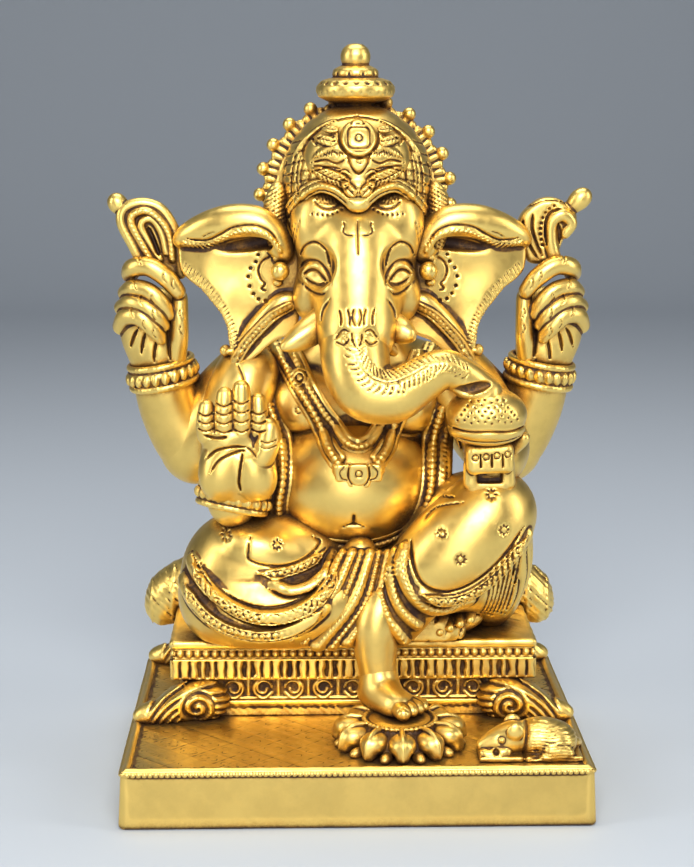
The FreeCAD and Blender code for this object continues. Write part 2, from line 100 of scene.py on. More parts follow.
def rotation(turn):
    """The matrix of turns about X, Y and Z in degrees, in that order."""
    ax, ay, az = np.radians(turn)
    cx, sx, cy, sy, cz, sz = np.cos(ax), np.sin(ax), np.cos(ay), np.sin(ay), np.cos(az), np.sin(az)
    about_x = np.array([[1, 0, 0], [0, cx, -sx], [0, sx, cx]])
    about_y = np.array([[cy, 0, sy], [0, 1, 0], [-sy, 0, cy]])
    about_z = np.array([[cz, -sz, 0], [sz, cz, 0], [0, 0, 1]])
    return about_z @ about_y @ about_x


def join(a, b, soft):
    """Smooth union of two distances."""
    if soft <= 0:
        return np.minimum(a, b)
    h = np.maximum(soft - np.abs(a - b), 0) / soft
    return np.minimum(a, b) - h * h * soft * 0.25


def bump(distance, width):
    """1 on a line, falling smoothly to 0 at a width from it."""
    t = np.clip(np.abs(distance) / width, 0, 1)
    return (1 - t * t) ** 2


# ---------------------------------------------------------------- clay: distance fields that are sculpted


class Clay:
    """A block of signed distances that solids are added to and cut from."""

    def __init__(self, low, high, voxel=FINE):
        self.low = np.array(low, float)
        self.voxel = voxel
        counts = np.ceil((np.array(high, float) - self.low) / voxel).astype(int) + 1
        self.axes = [self.low[i] + voxel * np.arange(counts[i]) for i in range(3)]
        self.field = np.full(counts, FAR, np.float32)

    def window(self, low, high):
        """The slices of the block between two corners, and their coordinates."""
        cut = []
        for i in range(3):
            first = max(int(np.floor((low[i] - self.low[i]) / self.voxel)), 0)
            last = min(int(np.ceil((high[i] - self.low[i]) / self.voxel)) + 1, len(self.axes[i]))
            if last <= first:
                return None, None
            cut.append(slice(first, last))
        x, y, z = (self.axes[i][cut[i]].astype(np.float32) for i in range(3))
        return tuple(cut), (x[:, None, None], y[None, :, None], z[None, None, :])

    def apply(self, low, high, distance, soft, carve):
        """Joins a distance to the field, or carves it out, near the box between two corners."""
        cut, spots = self.window(np.array(low) - FAR, np.array(high) + FAR)
        if cut is None:
            return self
        other = distance(*spots)
        old = self.field[cut]
        self.field[cut] = -join(-old, other, soft) if carve else join(old, other, soft)
        return self

    def ball(self, centre, radii, turn=(0, 0, 0), soft=1.0, carve=0):
        """Adds (or carves) an ellipsoid."""
        c = np.array(centre, float)
        r = np.array([radii] * 3 if np.isscalar(radii) else radii, float)
        m = rotation(turn)
        half = np.sqrt(((m * r) ** 2).sum(1))

        def distance(x, y, z):
            dx, dy, dz = x - c[0], y - c[1], z - c[2]
            u = (m[0, 0] * dx + m[1, 0] * dy + m[2, 0] * dz) / r[0]
            v = (m[0, 1] * dx + m[1, 1] * dy + m[2, 1] * dz) / r[1]
            w = (m[0, 2] * dx + m[1, 2] * dy + m[2, 2] * dz) / r[2]
            k0 = np.sqrt(u * u + v * v + w * w)
            k1 = np.sqrt((u / r[0]) ** 2 + (v / r[1]) ** 2 + (w / r[2]) ** 2) + 1e-9
            return k0 * (k0 - 1) / k1

        return self.apply(c - half, c + half, distance, soft, carve)

    def limb(self, stations, soft=0.6, carve=0, per_span=6, flat=1.0):
        """Adds a smooth limb through stations x, y, z, radius. flat squeezes it along Y."""
        rows = curve(stations, per_span) if len(stations) > 2 else np.array(stations, float)
        for a, b in zip(rows[:-1], rows[1:]):
            self.cone(a, b, soft if carve == 0 else 0.2, carve, flat)
        return self

    def rod(self, points, radius, soft, flat=1.0):
        """Adds a rod of one radius through points x, y, z."""
        for a, b in zip(points[:-1], points[1:]):
            self.cone(np.array([*a, radius]), np.array([*b, radius]), soft, 0, flat)
        return self

    def cone(self, a, b, soft, carve, flat=1.0):
        """Adds a round-ended cone between two stations."""
        pa, pb = a[:3], b[:3]
        axis = pb - pa
        length = max(float(axis @ axis), 1e-9)
        reach = max(a[3], b[3])
        low, high = np.minimum(pa, pb) - reach, np.maximum(pa, pb) + reach

        def distance(x, y, z):
            dx, dy, dz = x - pa[0], (y - pa[1]), z - pa[2]
            t = np.clip((dx * axis[0] + dy * axis[1] + dz * axis[2]) / length, 0, 1)
            gap = np.sqrt((dx - t * axis[0]) ** 2 + ((dy - t * axis[1]) / flat) ** 2
                          + (dz - t * axis[2]) ** 2)
            return gap - (a[3] + (b[3] - a[3]) * t)

        return self.apply(low, high, distance, soft, carve)

    def block(self, centre, half, turn=(0, 0, 0), round_by=0.5, soft=0.5, carve=0):
        """Adds a box with rounded edges."""
        c, h, m = np.array(centre, float), np.array(half, float) - round_by, rotation(turn)
        reach = np.abs(m) @ (h + round_by)

        def distance(x, y, z):
            dx, dy, dz = x - c[0], y - c[1], z - c[2]
            u = np.abs(m[0, 0] * dx + m[1, 0] * dy + m[2, 0] * dz) - h[0]
            v = np.abs(m[0, 1] * dx + m[1, 1] * dy + m[2, 1] * dz) - h[1]
            w = np.abs(m[0, 2] * dx + m[1, 2] * dy + m[2, 2] * dz) - h[2]
            outside = np.sqrt(np.maximum(u, 0) ** 2 + np.maximum(v, 0) ** 2 + np.maximum(w, 0) ** 2)
            return outside + np.minimum(np.maximum(u, np.maximum(v, w)), 0) - round_by

        return self.apply(c - reach, c + reach, distance, soft, carve)

    def floor(self, level):
        """Cuts away everything below a level."""
        self.field = np.maximum(self.field, (level - self.axes[2]).astype(np.float32)[None, None, :])
        return self

    def relief(self, height, low, high, across="y", fade=2.0):
        """Raises the surface by height(u, v) seen along one axis, between two corners.
        Seen along y, u and v are x and z; along x, y and z; along z, x and y."""
        cut, (x, y, z) = self.window(low, high)
        if cut is None:
            return self
        i = "xyz".index(across)
        uv = {"x": (y, z), "y": (x, z), "z": (x, y)}[across]
        raised = height(*uv)
        depth = (x, y, z)[i]
        inside = np.clip(np.minimum(depth - low[i], high[i] - depth) / fade, 0, 1)
        self.field[cut] -= (raised * inside).astype(np.float32)
        return self

    def front(self, x, z, beyond=-400.0):
        """The Y of the foremost surface at a place seen from the front, or None."""
        i = int(round((x - self.low[0]) / self.voxel))
        k = int(round((z - self.low[2]) / self.voxel))
        if not (0 <= i < self.field.shape[0] and 0 <= k < self.field.shape[2]):
            return None
        column = self.field[i, :, k]
        inside = np.nonzero((column < 0) & (self.axes[1] > beyond))[0]
        if len(inside) == 0 or inside[0] == 0:
            return None
        j = inside[0]
        a, b = column[j - 1], column[j]
        return self.axes[1][j - 1] + self.voxel * a / (a - b)

    def drape(self, path, lift=0.0):
        """Lays a path of x, z pairs on the front surface, and returns x, y, z."""
        laid = []
        for x, z in path:
            y = self.front(x, z)
            if y is not None:
                laid.append((x, y - lift, z))
        return np.array(laid)

    def mesh(self, name, smooth=2):
        """The surface as a mesh in metres, with a "recess" attribute for the patina."""
        pad = np.pad(np.clip(self.field, -FAR / 2, FAR / 2), 1, constant_values=FAR / 2)
        grid = openvdb.FloatGrid(background=FAR / 2)
        grid.copyFromArray(np.ascontiguousarray(pad))
        spots, quads = grid.convertToQuads(isovalue=0.0)
        spots = (spots - 1) * self.voxel + self.low
        return build_mesh(name, spots, quads, smooth)


def edge_sums(edges, total):
    """How many neighbours each vertex has."""
    degree = np.bincount(edges.ravel(), minlength=total).astype(float)
    return np.maximum(degree, 1)


def average(values, edges, degree):
    """Mean of each vertex's neighbours, for one value or three to a vertex."""
    columns = values.reshape(len(values), -1)
    out = np.empty_like(columns)
    for i in range(columns.shape[1]):
        v = columns[:, i]
        out[:, i] = (np.bincount(edges[:, 0], weights=v[edges[:, 1]], minlength=len(v))
                     + np.bincount(edges[:, 1], weights=v[edges[:, 0]], minlength=len(v))) / degree
    return out.reshape(values.shape)


def build_mesh(name, spots, quads, smooth):
    """A Blender object from points and quads in millimetres, smoothed, with its recesses measured."""
    quads = quads.astype(np.int64)
    edges = np.vstack([quads[:, [0, 1]], quads[:, [1, 2]], quads[:, [2, 3]], quads[:, [3, 0]]])
    edges = np.unique(np.sort(edges, axis=1), axis=0)
    degree = edge_sums(edges, len(spots))
    for _ in range(smooth):
        spots = spots + 0.5 * (average(spots, edges, degree) - spots)
    recess = measure_recess(spots, quads, edges, degree)
    mesh = bpy.data.meshes.new(name)
    mesh.vertices.add(len(spots))
    mesh.vertices.foreach_set("co", (spots * MM).astype(np.float32).ravel())
    mesh.loops.add(len(quads) * 4)
    mesh.loops.foreach_set("vertex_index", quads.astype(np.int32).ravel())
    mesh.polygons.add(len(quads))
    mesh.polygons.foreach_set("loop_start", np.arange(0, len(quads) * 4, 4, dtype=np.int32))
    mesh.update(calc_edges=True)
    mesh.polygons.foreach_set("use_smooth", np.ones(len(quads), bool))
    layer = mesh.attributes.new("recess", "FLOAT", "POINT")
    layer.data.foreach_set("value", recess.astype(np.float32))
    obj = bpy.data.objects.new(name, mesh)
    bpy.context.scene.collection.objects.link(obj)
    return obj


def measure_recess(spots, quads, edges, degree):
    """How deep each point lies below its surroundings, in millimetres, over a near and a wide area."""
    a, b, c, d = (spots[quads[:, i]] for i in range(4))
    across = np.cross(c - a, d - b)
    normal = np.zeros_like(spots)
    for i in range(4):
        for k in range(3):
            normal[:, k] += np.bincount(quads[:, i], weights=across[:, k], minlength=len(spots))
    normal /= np.linalg.norm(normal, axis=1, keepdims=True) + 1e-12
    depth = np.zeros(len(spots))
    near = spots
    for rounds in (3, 12):
        for _ in range(rounds):
            near = near + 0.9 * (average(near, edges, degree) - near)
        depth += ((near - spots) * normal).sum(1)
    return 0.5 * depth + 0.5 * average(depth, edges, degree)


# ---------------------------------------------------------------- brass


def brass(name, bright, warm, dark, rough, recess_low, recess_high, painted_shade_strength):
    """Polished brass with dark patina in its recesses, and painted shade where ambient occlusion finds
    nearby surfaces closing it in.
    bright, warm and dark are its colours on high points, in the middle, and in recesses and shaded places;
    the last argument scales the painted shade."""
    material = bpy.data.materials.new(name)
    material.use_nodes = True
    tree = material.node_tree
    tree.nodes.clear()

    def node(kind, **values):
        made = tree.nodes.new(kind)
        for key, value in values.items():
            setattr(made, key, value)
        return made

    def link(a, b):
        tree.links.new(a, b)

    def math_node(operation, a, b, clamp=False):
        made = node("ShaderNodeMath", operation=operation, use_clamp=clamp)
        for socket, value in zip(made.inputs, (a, b)):
            if isinstance(value, (int, float)):
                socket.default_value = value
            else:
                link(value, socket)
        return made.outputs[0]

    def ranged(value, low, high, to_low=0.0, to_high=1.0):
        made = node("ShaderNodeMapRange", interpolation_type="SMOOTHSTEP")
        link(value, made.inputs["Value"])
        for key, number in zip(("From Min", "From Max", "To Min", "To Max"), (low, high, to_low, to_high)):
            made.inputs[key].default_value = number
        return made.outputs["Result"]

    def mix(factor, a, b):
        made = node("ShaderNodeMix", data_type="RGBA")
        link(factor, made.inputs[0])
        for socket, value in ((made.inputs[6], a), (made.inputs[7], b)):
            if isinstance(value, tuple):
                socket.default_value = (*value, 1)
            else:
                link(value, socket)
        return made.outputs[2]

    place = node("ShaderNodeNewGeometry").outputs["Position"]

    def noise(scale, detail, rough_amount=0.55):
        made = node("ShaderNodeTexNoise")
        link(place, made.inputs["Vector"])
        made.inputs["Scale"].default_value = scale
        made.inputs["Detail"].default_value = detail
        made.inputs["Roughness"].default_value = rough_amount
        return made.outputs[0]

    recess = node("ShaderNodeAttribute", attribute_name="recess").outputs["Fac"]
    # Ambient occlusion within 6 mm darkens places that nearby parts close in. This is painted shade between
    # parts and in crevices.
    shade = node("ShaderNodeAmbientOcclusion", samples=8)
    shade.inputs["Distance"].default_value = 0.006
    hidden = math_node("SUBTRACT", 1.0, shade.outputs["AO"])
    clouds = noise(150, 4)
    grain = noise(1100, 3, 0.7)
    patchy = math_node("ADD", math_node("MULTIPLY", clouds, 0.55), math_node("MULTIPLY", grain, 0.45))
    # deep is the patina in the hollows found by the recess attribute; closed is painted shade where the
    # occlusion is strong.
    deep = ranged(recess, recess_low, recess_high)
    closed = ranged(hidden, 0.32, 0.70)
    cover = math_node("MAXIMUM", deep, closed)
    # The dark colour goes on the patina in recesses and on painted shade in strongly occluded places,
    # broken up by noise.
    worn = math_node("MULTIPLY", cover, ranged(patchy, 0.30, 0.58, 0.45, 1.0), clamp=True)
    # Painted shade: occlusion broken up by noise, scaled by the last argument.
    occlusion_painted_shade = math_node("MULTIPLY", ranged(hidden, 0.08, 0.42), ranged(patchy, 0.36, 0.62, 0.2, 1.0))
    # The warm brown goes on the painted shade and on the patina of the recesses.
    tarnish_and_painted_shade = math_node("MAXIMUM", math_node("MULTIPLY", occlusion_painted_shade, painted_shade_strength), math_node("MULTIPLY", cover, 0.9),
                        clamp=True)

    edge = ranged(math_node("MULTIPLY", recess, -1.0), 0.01, 0.12)
    polished = mix(edge, mix(ranged(clouds, 0.3, 0.7), bright, tuple(0.88 * c for c in bright)),
                   tuple(min(1.0, 1.12 * c) for c in bright))
    metal = mix(tarnish_and_painted_shade, polished, warm)
    colour = mix(worn, metal, dark)

    shader = node("ShaderNodeBsdfPrincipled")
    link(colour, shader.inputs["Base Color"])
    link(ranged(worn, 0.3, 1.0, 1.0, 0.35), shader.inputs["Metallic"])
    rough_noise = ranged(noise(300, 4, 0.6), 0.3, 0.7, rough - 0.04, rough + 0.06)
    roughness = math_node("ADD", rough_noise, math_node("MULTIPLY", tarnish_and_painted_shade, 0.22), clamp=True)
    link(roughness, shader.inputs["Roughness"])

    stretched = node("ShaderNodeMapping")
    stretched.inputs["Scale"].default_value = (260, 260, 2600)
    link(place, stretched.inputs["Vector"])
    brushed = node("ShaderNodeTexNoise")
    link(stretched.outputs[0], brushed.inputs["Vector"])
    brushed.inputs["Scale"].default_value = 1.0
    brushed.inputs["Detail"].default_value = 2
    pits = ranged(noise(1300, 2), 0.66, 0.76, 0.0, -1.0)
    dings = ranged(noise(330, 1), 0.68, 0.8, 0.0, -1.0)
    surface = math_node("ADD", math_node("MULTIPLY", grain, 0.16), math_node("ADD", math_node(
        "MULTIPLY", brushed.outputs[0], 0.12), math_node("ADD", math_node("MULTIPLY", pits, 0.5), math_node(
            "MULTIPLY", dings, 0.2))))
    relief = node("ShaderNodeBump")
    relief.inputs["Strength"].default_value = 0.22
    relief.inputs["Distance"].default_value = 0.0002
    link(surface, relief.inputs["Height"])
    link(relief.outputs[0], shader.inputs["Normal"])
    output = node("ShaderNodeOutputMaterial")
    link(shader.outputs[0], output.inputs[0])
    return material


# The last number of each brass scales its painted occlusion shade.
BRASS = brass("polished_brass", (0.91, 0.63, 0.175), (0.50, 0.225, 0.035), (0.032, 0.011, 0.005), 0.345,
              0.022, 0.095, 0.95)
PLINTH_BRASS = brass("plinth_brass", (0.80, 0.56, 0.16), (0.46, 0.24, 0.05), (0.05, 0.02, 0.008), 0.36,
                     0.04, 0.15, 0.7)
PLAIN_BRASS = brass("turned_brass", (0.66, 0.45, 0.13), (0.42, 0.22, 0.05), (0.08, 0.035, 0.015), 0.36,
                    0.08, 0.30, 0.6)


def dress(piece, slot, material, *nodes):
    """Gives a piece its material, and lets it stand for its CAD nodes."""
    piece.data.materials.append(material)
    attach(piece, "root")
    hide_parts(*nodes)
    return piece


def show(clay, node, slot="figure_brass", smooth=2):
    """Meshes a clay to stand for one CAD node."""
    return dress(clay.mesh(f"{node}_piece", smooth), slot, BRASS, node)


# ---------------------------------------------------------------- base: plinth, seat, feet, lotus, mouse

PLINTH_LOW, PLINTH_HIGH = box_mm("plinth")
SLAB_LOW, SLAB_HIGH = box_mm("seat_slab")
GROUND = PLINTH_HIGH[2]
SEAT_TOP = SLAB_HIGH[2]


def rectangle_path(low, high, corner, pitch):
    """Points round a rounded rectangle: position, outward normal, side and place on that side."""
    x0, y0, x1, y1 = low[0], low[1], high[0], high[1]
    middles = [((x0 + x1) / 2, y0), (x1, (y0 + y1) / 2), ((x0 + x1) / 2, y1), (x0, (y0 + y1) / 2)]
    halves = [(x1 - x0) / 2, (y1 - y0) / 2] * 2
    rows = []
    for side in range(4):
        along = np.array([math.cos(side * math.pi / 2), math.sin(side * math.pi / 2)])
        out = np.array([along[1], -along[0]])
        flat = halves[side] - corner
        for t in np.linspace(-flat, flat, max(int(2 * flat / pitch), 2)):
            rows.append([*(np.array(middles[side]) + along * t), *out, side, t])
        hub = np.array(middles[side]) + along * flat - out * corner
        for turn in np.linspace(0, math.pi / 2, 5)[1:-1]:
            way = out * math.cos(turn) + along * math.sin(turn)
            rows.append([*(hub + way * corner), *way, side, flat + corner * math.sin(turn)])
    return np.array(rows)


def course(name, low, high, height, wall, pitch=0.34, corner=0.8, rows=None):
    """A hollow rectangular moulding. height(side, along, up) is how far its face stands out."""
    path = rectangle_path(low, high, corner, pitch)
    levels = np.linspace(low[2], high[2], max(int((high[2] - low[2]) / pitch), 2)) if rows is None else rows
    side, along = path[:, 4][:, None], path[:, 5][:, None]
    out = height(side, along, levels[None, :])
    outer = [np.stack([path[:, 0] + path[:, 2] * out[:, k], path[:, 1] + path[:, 3] * out[:, k],
                       np.full(len(path), levels[k])], 1) for k in range(len(levels))]
    inner = [np.stack([path[:, 0] - path[:, 2] * wall, path[:, 1] - path[:, 3] * wall,
                       np.full(len(path), z)], 1) for z in (high[2], low[2])]
    loops = outer + inner
    spots = np.concatenate(loops)
    return build_mesh(name, spots, closed_rings(len(loops), len(path)), 0)


def closed_rings(rings, count):
    """Quads between rings of points, and between the last ring and the first."""
    quads = []
    index = np.arange(count)
    following = (index + 1) % count
    for k in range(rings):
        a, b = k * count, ((k + 1) % rings) * count
        quads.append(np.stack([a + index, a + following, b + following, b + index], 1))
    return np.concatenate(quads)


def wobble(u, v, seed, scale=1.0):
    """A smooth pseudo-random unevenness from sines, about -1 to 1."""
    total = 0
    for i in range(4):
        a, b, c = (math.sin(seed * 12.9898 + i * 78.233 + j * 37.719) * 3.1 for j in range(3))
        total = total + np.sin(scale * (u * a + v * b) + c * 7)
    return total / 4


def repeated(values, pitch):
    """Distance along to the nearest of a row of places a pitch apart."""
    return values - pitch * np.round(values / pitch)


def beads(u, v, pitch, radius, height=1.0):
    """Round beads in a row along u, centred on v = 0."""
    gap = repeated(u, pitch)
    return height * np.sqrt(np.maximum(radius ** 2 - gap ** 2 - v ** 2, 0))


def make_plinth():
    corner = 2.2
    size = PLINTH_HIGH[2] - PLINTH_LOW[2]
    draft = 0.9

    def face(side, along, up):
        share = (up - PLINTH_LOW[2]) / size
        edge = beads(along, (up - GROUND + 0.75), 1.7, 0.8, 0.8)
        worn = 0.07 * wobble(along + side * 40, 0.6 * up, 3, 0.06) + 0.018 * wobble(up, along, 7, 0.45)
        foot = -0.6 * np.clip(1 - (up - PLINTH_LOW[2]) / 1.0, 0, 1) ** 2
        return -draft * share + edge * (share > 0.9) + worn + foot

    levels = np.concatenate([np.linspace(PLINTH_LOW[2], GROUND - 2, 24),
                             np.linspace(GROUND - 1.75, GROUND, 9)])
    walls = course("plinth_walls", PLINTH_LOW, PLINTH_HIGH, face, 4.0, 0.42, corner, levels)
    top = plinth_top(draft)
    for piece in (walls, top):
        dress(piece, "plinth_brass", PLINTH_BRASS, "plinth")


def plinth_top(draft):
    """The engraved top face: a fine grid with a raised rim, closed by a flat underside."""
    pitch = 0.47
    x0, x1 = PLINTH_LOW[0] + draft, PLINTH_HIGH[0] - draft
    y0, y1 = PLINTH_LOW[1] + draft, PLINTH_HIGH[1] - draft
    nx, ny = int((x1 - x0) / pitch), int((y1 - y0) / pitch)
    x, y = np.meshgrid(np.linspace(x0 + 0.3, x1 - 0.3, nx), np.linspace(y0 + 0.3, y1 - 0.3, ny),
                       indexing="ij")
    edge = np.minimum(np.minimum(x - x0, x1 - x), np.minimum(y - y0, y1 - y))
    rim = 0.9 * np.clip(1 - np.abs(edge - 1.7) / 1.1, 0, 1) ** 0.5
    inner = np.clip((edge - 3.5) / 1.5, 0, 1)
    z = GROUND + rim - inner * leaf_diaper(x, y) + 0.10 * wobble(x, y, 8, 0.6)
    top = np.stack([x, y, z], 2).reshape(-1, 3)
    under = np.stack([x, y, np.full_like(x, GROUND - 3.0)], 2).reshape(-1, 3)
    index = np.arange(nx * ny).reshape(nx, ny)
    a, b, c, d = index[:-1, :-1], index[1:, :-1], index[1:, 1:], index[:-1, 1:]
    up = np.stack([a, b, c, d], 2).reshape(-1, 4)
    ring = np.concatenate([index[:, 0], index[-1, 1:], index[-2::-1, -1], index[0, -2:0:-1]])
    follow = np.roll(ring, -1)
    base = nx * ny
    skirt = np.stack([ring, ring + base, follow + base, follow], 1)
    keep = np.concatenate([np.arange(base), ring + base])
    renumber = np.full(2 * base, -1)
    renumber[keep] = np.arange(len(keep))
    spots = np.concatenate([top, under])[keep]
    obj = build_mesh("plinth_top", spots, renumber[np.concatenate([up, skirt])], 0)
    close_bottom(obj, renumber[ring + base])
    return obj


def close_bottom(obj, ring):
    """Closes an open rim of vertices with one flat face."""
    shape = bmesh.new()
    shape.from_mesh(obj.data)
    shape.verts.ensure_lookup_table()
    shape.faces.new([shape.verts[i] for i in ring[::-1]])
    shape.to_mesh(obj.data)
    shape.free()


def leaf_diaper(x, y):
    """A shallow engraved diaper: crossing lines with a four-leaved flower in each field."""
    pitch = 9.0
    u, v = (x + y) / math.sqrt(2), (x - y) / math.sqrt(2)
    du, dv = repeated(u, pitch), repeated(v, pitch)
    lines = bump(np.abs(du) - pitch / 2, 0.55) + bump(np.abs(dv) - pitch / 2, 0.55)
    radius = np.hypot(du, dv)
    angle = np.arctan2(dv, du)
    petal = radius - 3.3 * np.abs(np.cos(2 * angle)) ** 0.7
    leaves = bump(petal, 0.55) + 0.6 * bump(radius, 0.8)
    return 0.17 * np.clip(lines + leaves, 0, 1) * (0.6 + 0.4 * wobble(x, y, 9, 0.2))


def make_seat():
    edge_noise = 0.12
    slab = Clay(SLAB_LOW - 2, SLAB_HIGH + 2, 0.5)
    middle, half = (SLAB_LOW + SLAB_HIGH) / 2, (SLAB_HIGH - SLAB_LOW) / 2
    slab.block(middle, half, round_by=1.2)
    slab.relief(lambda x, y: 0.18 * wobble(x, y, 5, 0.25), SLAB_LOW - 2, SLAB_HIGH + 2, across="z",
                fade=0.3)
    dress(slab.mesh("seat_slab_piece"), "seat_brass", BRASS, "seat_slab")

    low, high = box_mm("seat_bead_rail")
    centre = (low[2] + high[2]) / 2

    def rail(side, along, up):
        groove = -0.8 + 0 * up * along
        lips = 0.9 * bump(up - high[2], 0.7) + 0.9 * bump(up - low[2], 0.7)
        uneven = 0.15 * wobble(along + 90 * side, up, 2, 1.1)
        return groove + lips + beads(along + uneven, up - centre, 2.75, 1.25, 1.1)

    dress(course("seat_bead_rail_piece", low, high, rail, 5, 0.3), "seat_brass", BRASS, "seat_bead_rail")

    low, high = box_mm("seat_apron")

    def apron(side, along, up):
        wander = 0.35 * np.sin(along * 1.7 + side) + 0.12 * np.sin(up * 1.3 + along)
        slot = bump(repeated(along + wander, 2.9), 0.85) * np.clip((high[2] - 0.5 - up) / 0.5, 0, 1)
        roll = -0.5 * (1 - np.clip((up - low[2]) / 1.2, 0, 1)) ** 2
        return 0.25 - 1.25 * slot * np.clip((up - low[2] - 0.3) / 0.8, 0, 1) + roll

    dress(course("seat_apron_piece", low, high, apron, 5, 0.3), "seat_brass", BRASS, "seat_apron")

    low, high = box_mm("seat_frieze")
    dress(course("seat_frieze_piece", low, high, lambda s, a, u: scrolls(a, u - (low[2] + high[2]) / 2), 5,
                 0.3),
          "seat_brass", BRASS, "seat_frieze")

    low, high = box_mm("seat_skirt")

    def skirt(side, along, up):
        share = (up - low[2]) / (high[2] - low[2])
        return 0.8 * bump(share - 0.9,
                          0.35) - 0.3 * share + edge_noise * wobble(along + side * 9, up, 6, 0.9)

    dress(course("seat_skirt_piece", low, high, skirt, 5, 0.4), "seat_brass", BRASS, "seat_skirt")


def scrolls(along, up):
    """Round scrolls side by side, each a hoop open on one side with a curl inside."""
    pitch = 9.6
    cell = np.round(along / pitch)
    u = (along - cell * pitch) * np.where(cell % 2 == 0, 1, -1)
    radius, angle = np.hypot(u, up), np.arctan2(up, u)
    hoop = bump(radius - 3.0, 0.75) * np.clip(2.2 - np.abs(angle + 0.6), 0, 1)
    curl = bump(radius - (1.1 + 0.28 * (angle + math.pi)), 0.65) * (radius < 2.9)
    bar = bump(np.abs(u) - pitch / 2, 0.7) * bump(up, 3.2)
    edges = bump(np.abs(up) - 3.4, 0.6)
    return 0.95 * np.clip(hoop + curl + 0.7 * bar + 0.8 * edges, 0, 1.2) - 0.2


def make_seat_foot(node):
    """A scrolled paw: a volute by the seat, a leaf that sweeps out, and a toe on the plinth."""
    low, high = box_mm(node)
    side = RIGHT if low[0] < 0 else LEFT
    back = 1 if low[1] > 0 else -1
    y = (low[1] + high[1]) / 2
    clay = Clay((min(side * 36, side * 72), y - 12, GROUND - 1),
                (max(side * 36, side * 72), y + 12, GROUND + 15))
    clay.ball((side * 47.5, y - back * 2, GROUND + 6), (7.8, 6.5, 6.6), soft=0)
    clay.ball((side * 55, y, GROUND + 6.5), (8.5, 5.8, 4.6), (0, side * 28, 0), 2.5)
    clay.limb([(side * 55, y, GROUND + 3.6, 4), (side * 62, y + back, GROUND + 2.8, 3.2),
               (side * 67, y + back * 2, GROUND + 2.2, 2.3)], 2)
    clay.ball((side * 67.5, y + back * 2, GROUND + 2.2), (2.6, 2.4, 2.2), soft=1)

    def leaf(x, z):
        u, v = side * x, z - GROUND
        hub = np.hypot(u - 49.5, v - 5.0)
        turn = np.arctan2(v - 5.0, u - 49.5)
        curl = 0.6 * np.cos(2 * math.pi * hub / 2.9 - turn) * np.clip((6.4 - hub) / 1.5, 0, 1)
        sweep = np.hypot(u - 47.0, v + 9.0) + 0.12 * (u - 50)
        veins = 0.55 * np.cos(2 * math.pi * sweep / 2.3) * np.clip((hub - 5.4) / 1.5, 0, 1)
        return (curl + veins * np.clip((66 - u) / 3, 0, 1)) * 0.9 + 0.1 * wobble(x, z, 4, 1.4)

    clay.relief(leaf, (side * 54 - 20, y - 12, GROUND - 1), (side * 54 + 20, y + 12, GROUND + 15))
    clay.floor(GROUND + 0.05)
    show(clay, node, "seat_brass")


LOTUS_LOW, LOTUS_HIGH = box_mm("lotus_footrest")
LOTUS = (LOTUS_LOW + LOTUS_HIGH) / 2


def make_lotus():
    cx, cy = LOTUS[0], LOTUS[1]
    clay = Clay((cx - 24, cy - 24, GROUND - 1), (cx + 24, cy + 24, GROUND + 12), FINE * 0.9)
    clay.ball((cx, cy, GROUND + 3), (16, 16, 5.4), soft=0)
    petals = 11
    for i in range(petals):
        angle = 360 * (i + 0.25) / petals
        c, s = math.cos(math.radians(angle)), math.sin(math.radians(angle))
        uneven = 0.4 * math.sin(i * 2.7)

        def spot(radius, z):
            return cx + c * radius, cy + s * radius, GROUND + z

        clay.ball(spot(15.4, 4.6 + uneven * 0.4), (4.9, 4.2, 3.4), (0, 0, angle), 0.4)
        clay.ball(spot(18.2, 2.4), (2.5, 2.2, 2.9), (0, 0, angle), 1.0)
        clay.limb([(*spot(11.8, 8.0), 0.55), (*spot(15.8, 8.2), 0.6), (*spot(19.6, 5.8), 0.5),
                   (*spot(20.6, 1.2), 0.4)], 0.5)
        half = math.radians(angle + 180 / petals)
        clay.ball((cx + math.cos(half) * 17.4, cy + math.sin(half) * 17.4, GROUND + 0.9), (3.0, 1.9, 1.9),
                  (0, 0, math.degrees(half)), 0.3)
    clay.ball((cx, cy, GROUND + 6.6), (11.6, 11.6, 2.3), soft=0.6)
    clay.ball((cx, cy, GROUND + 13.2), (12.5, 12.5, 5.8), soft=0.5, carve=1)
    count = 44
    for i in range(count):
        angle = 2 * math.pi * i / count
        clay.ball((cx + 11.0 * math.cos(angle), cy + 11.0 * math.sin(angle), GROUND + 7.9), 0.82, soft=0.2)
    clay.floor(GROUND + 0.05)
    dress(clay.mesh("lotus_piece"), "small_figure_brass", BRASS, "lotus_footrest")


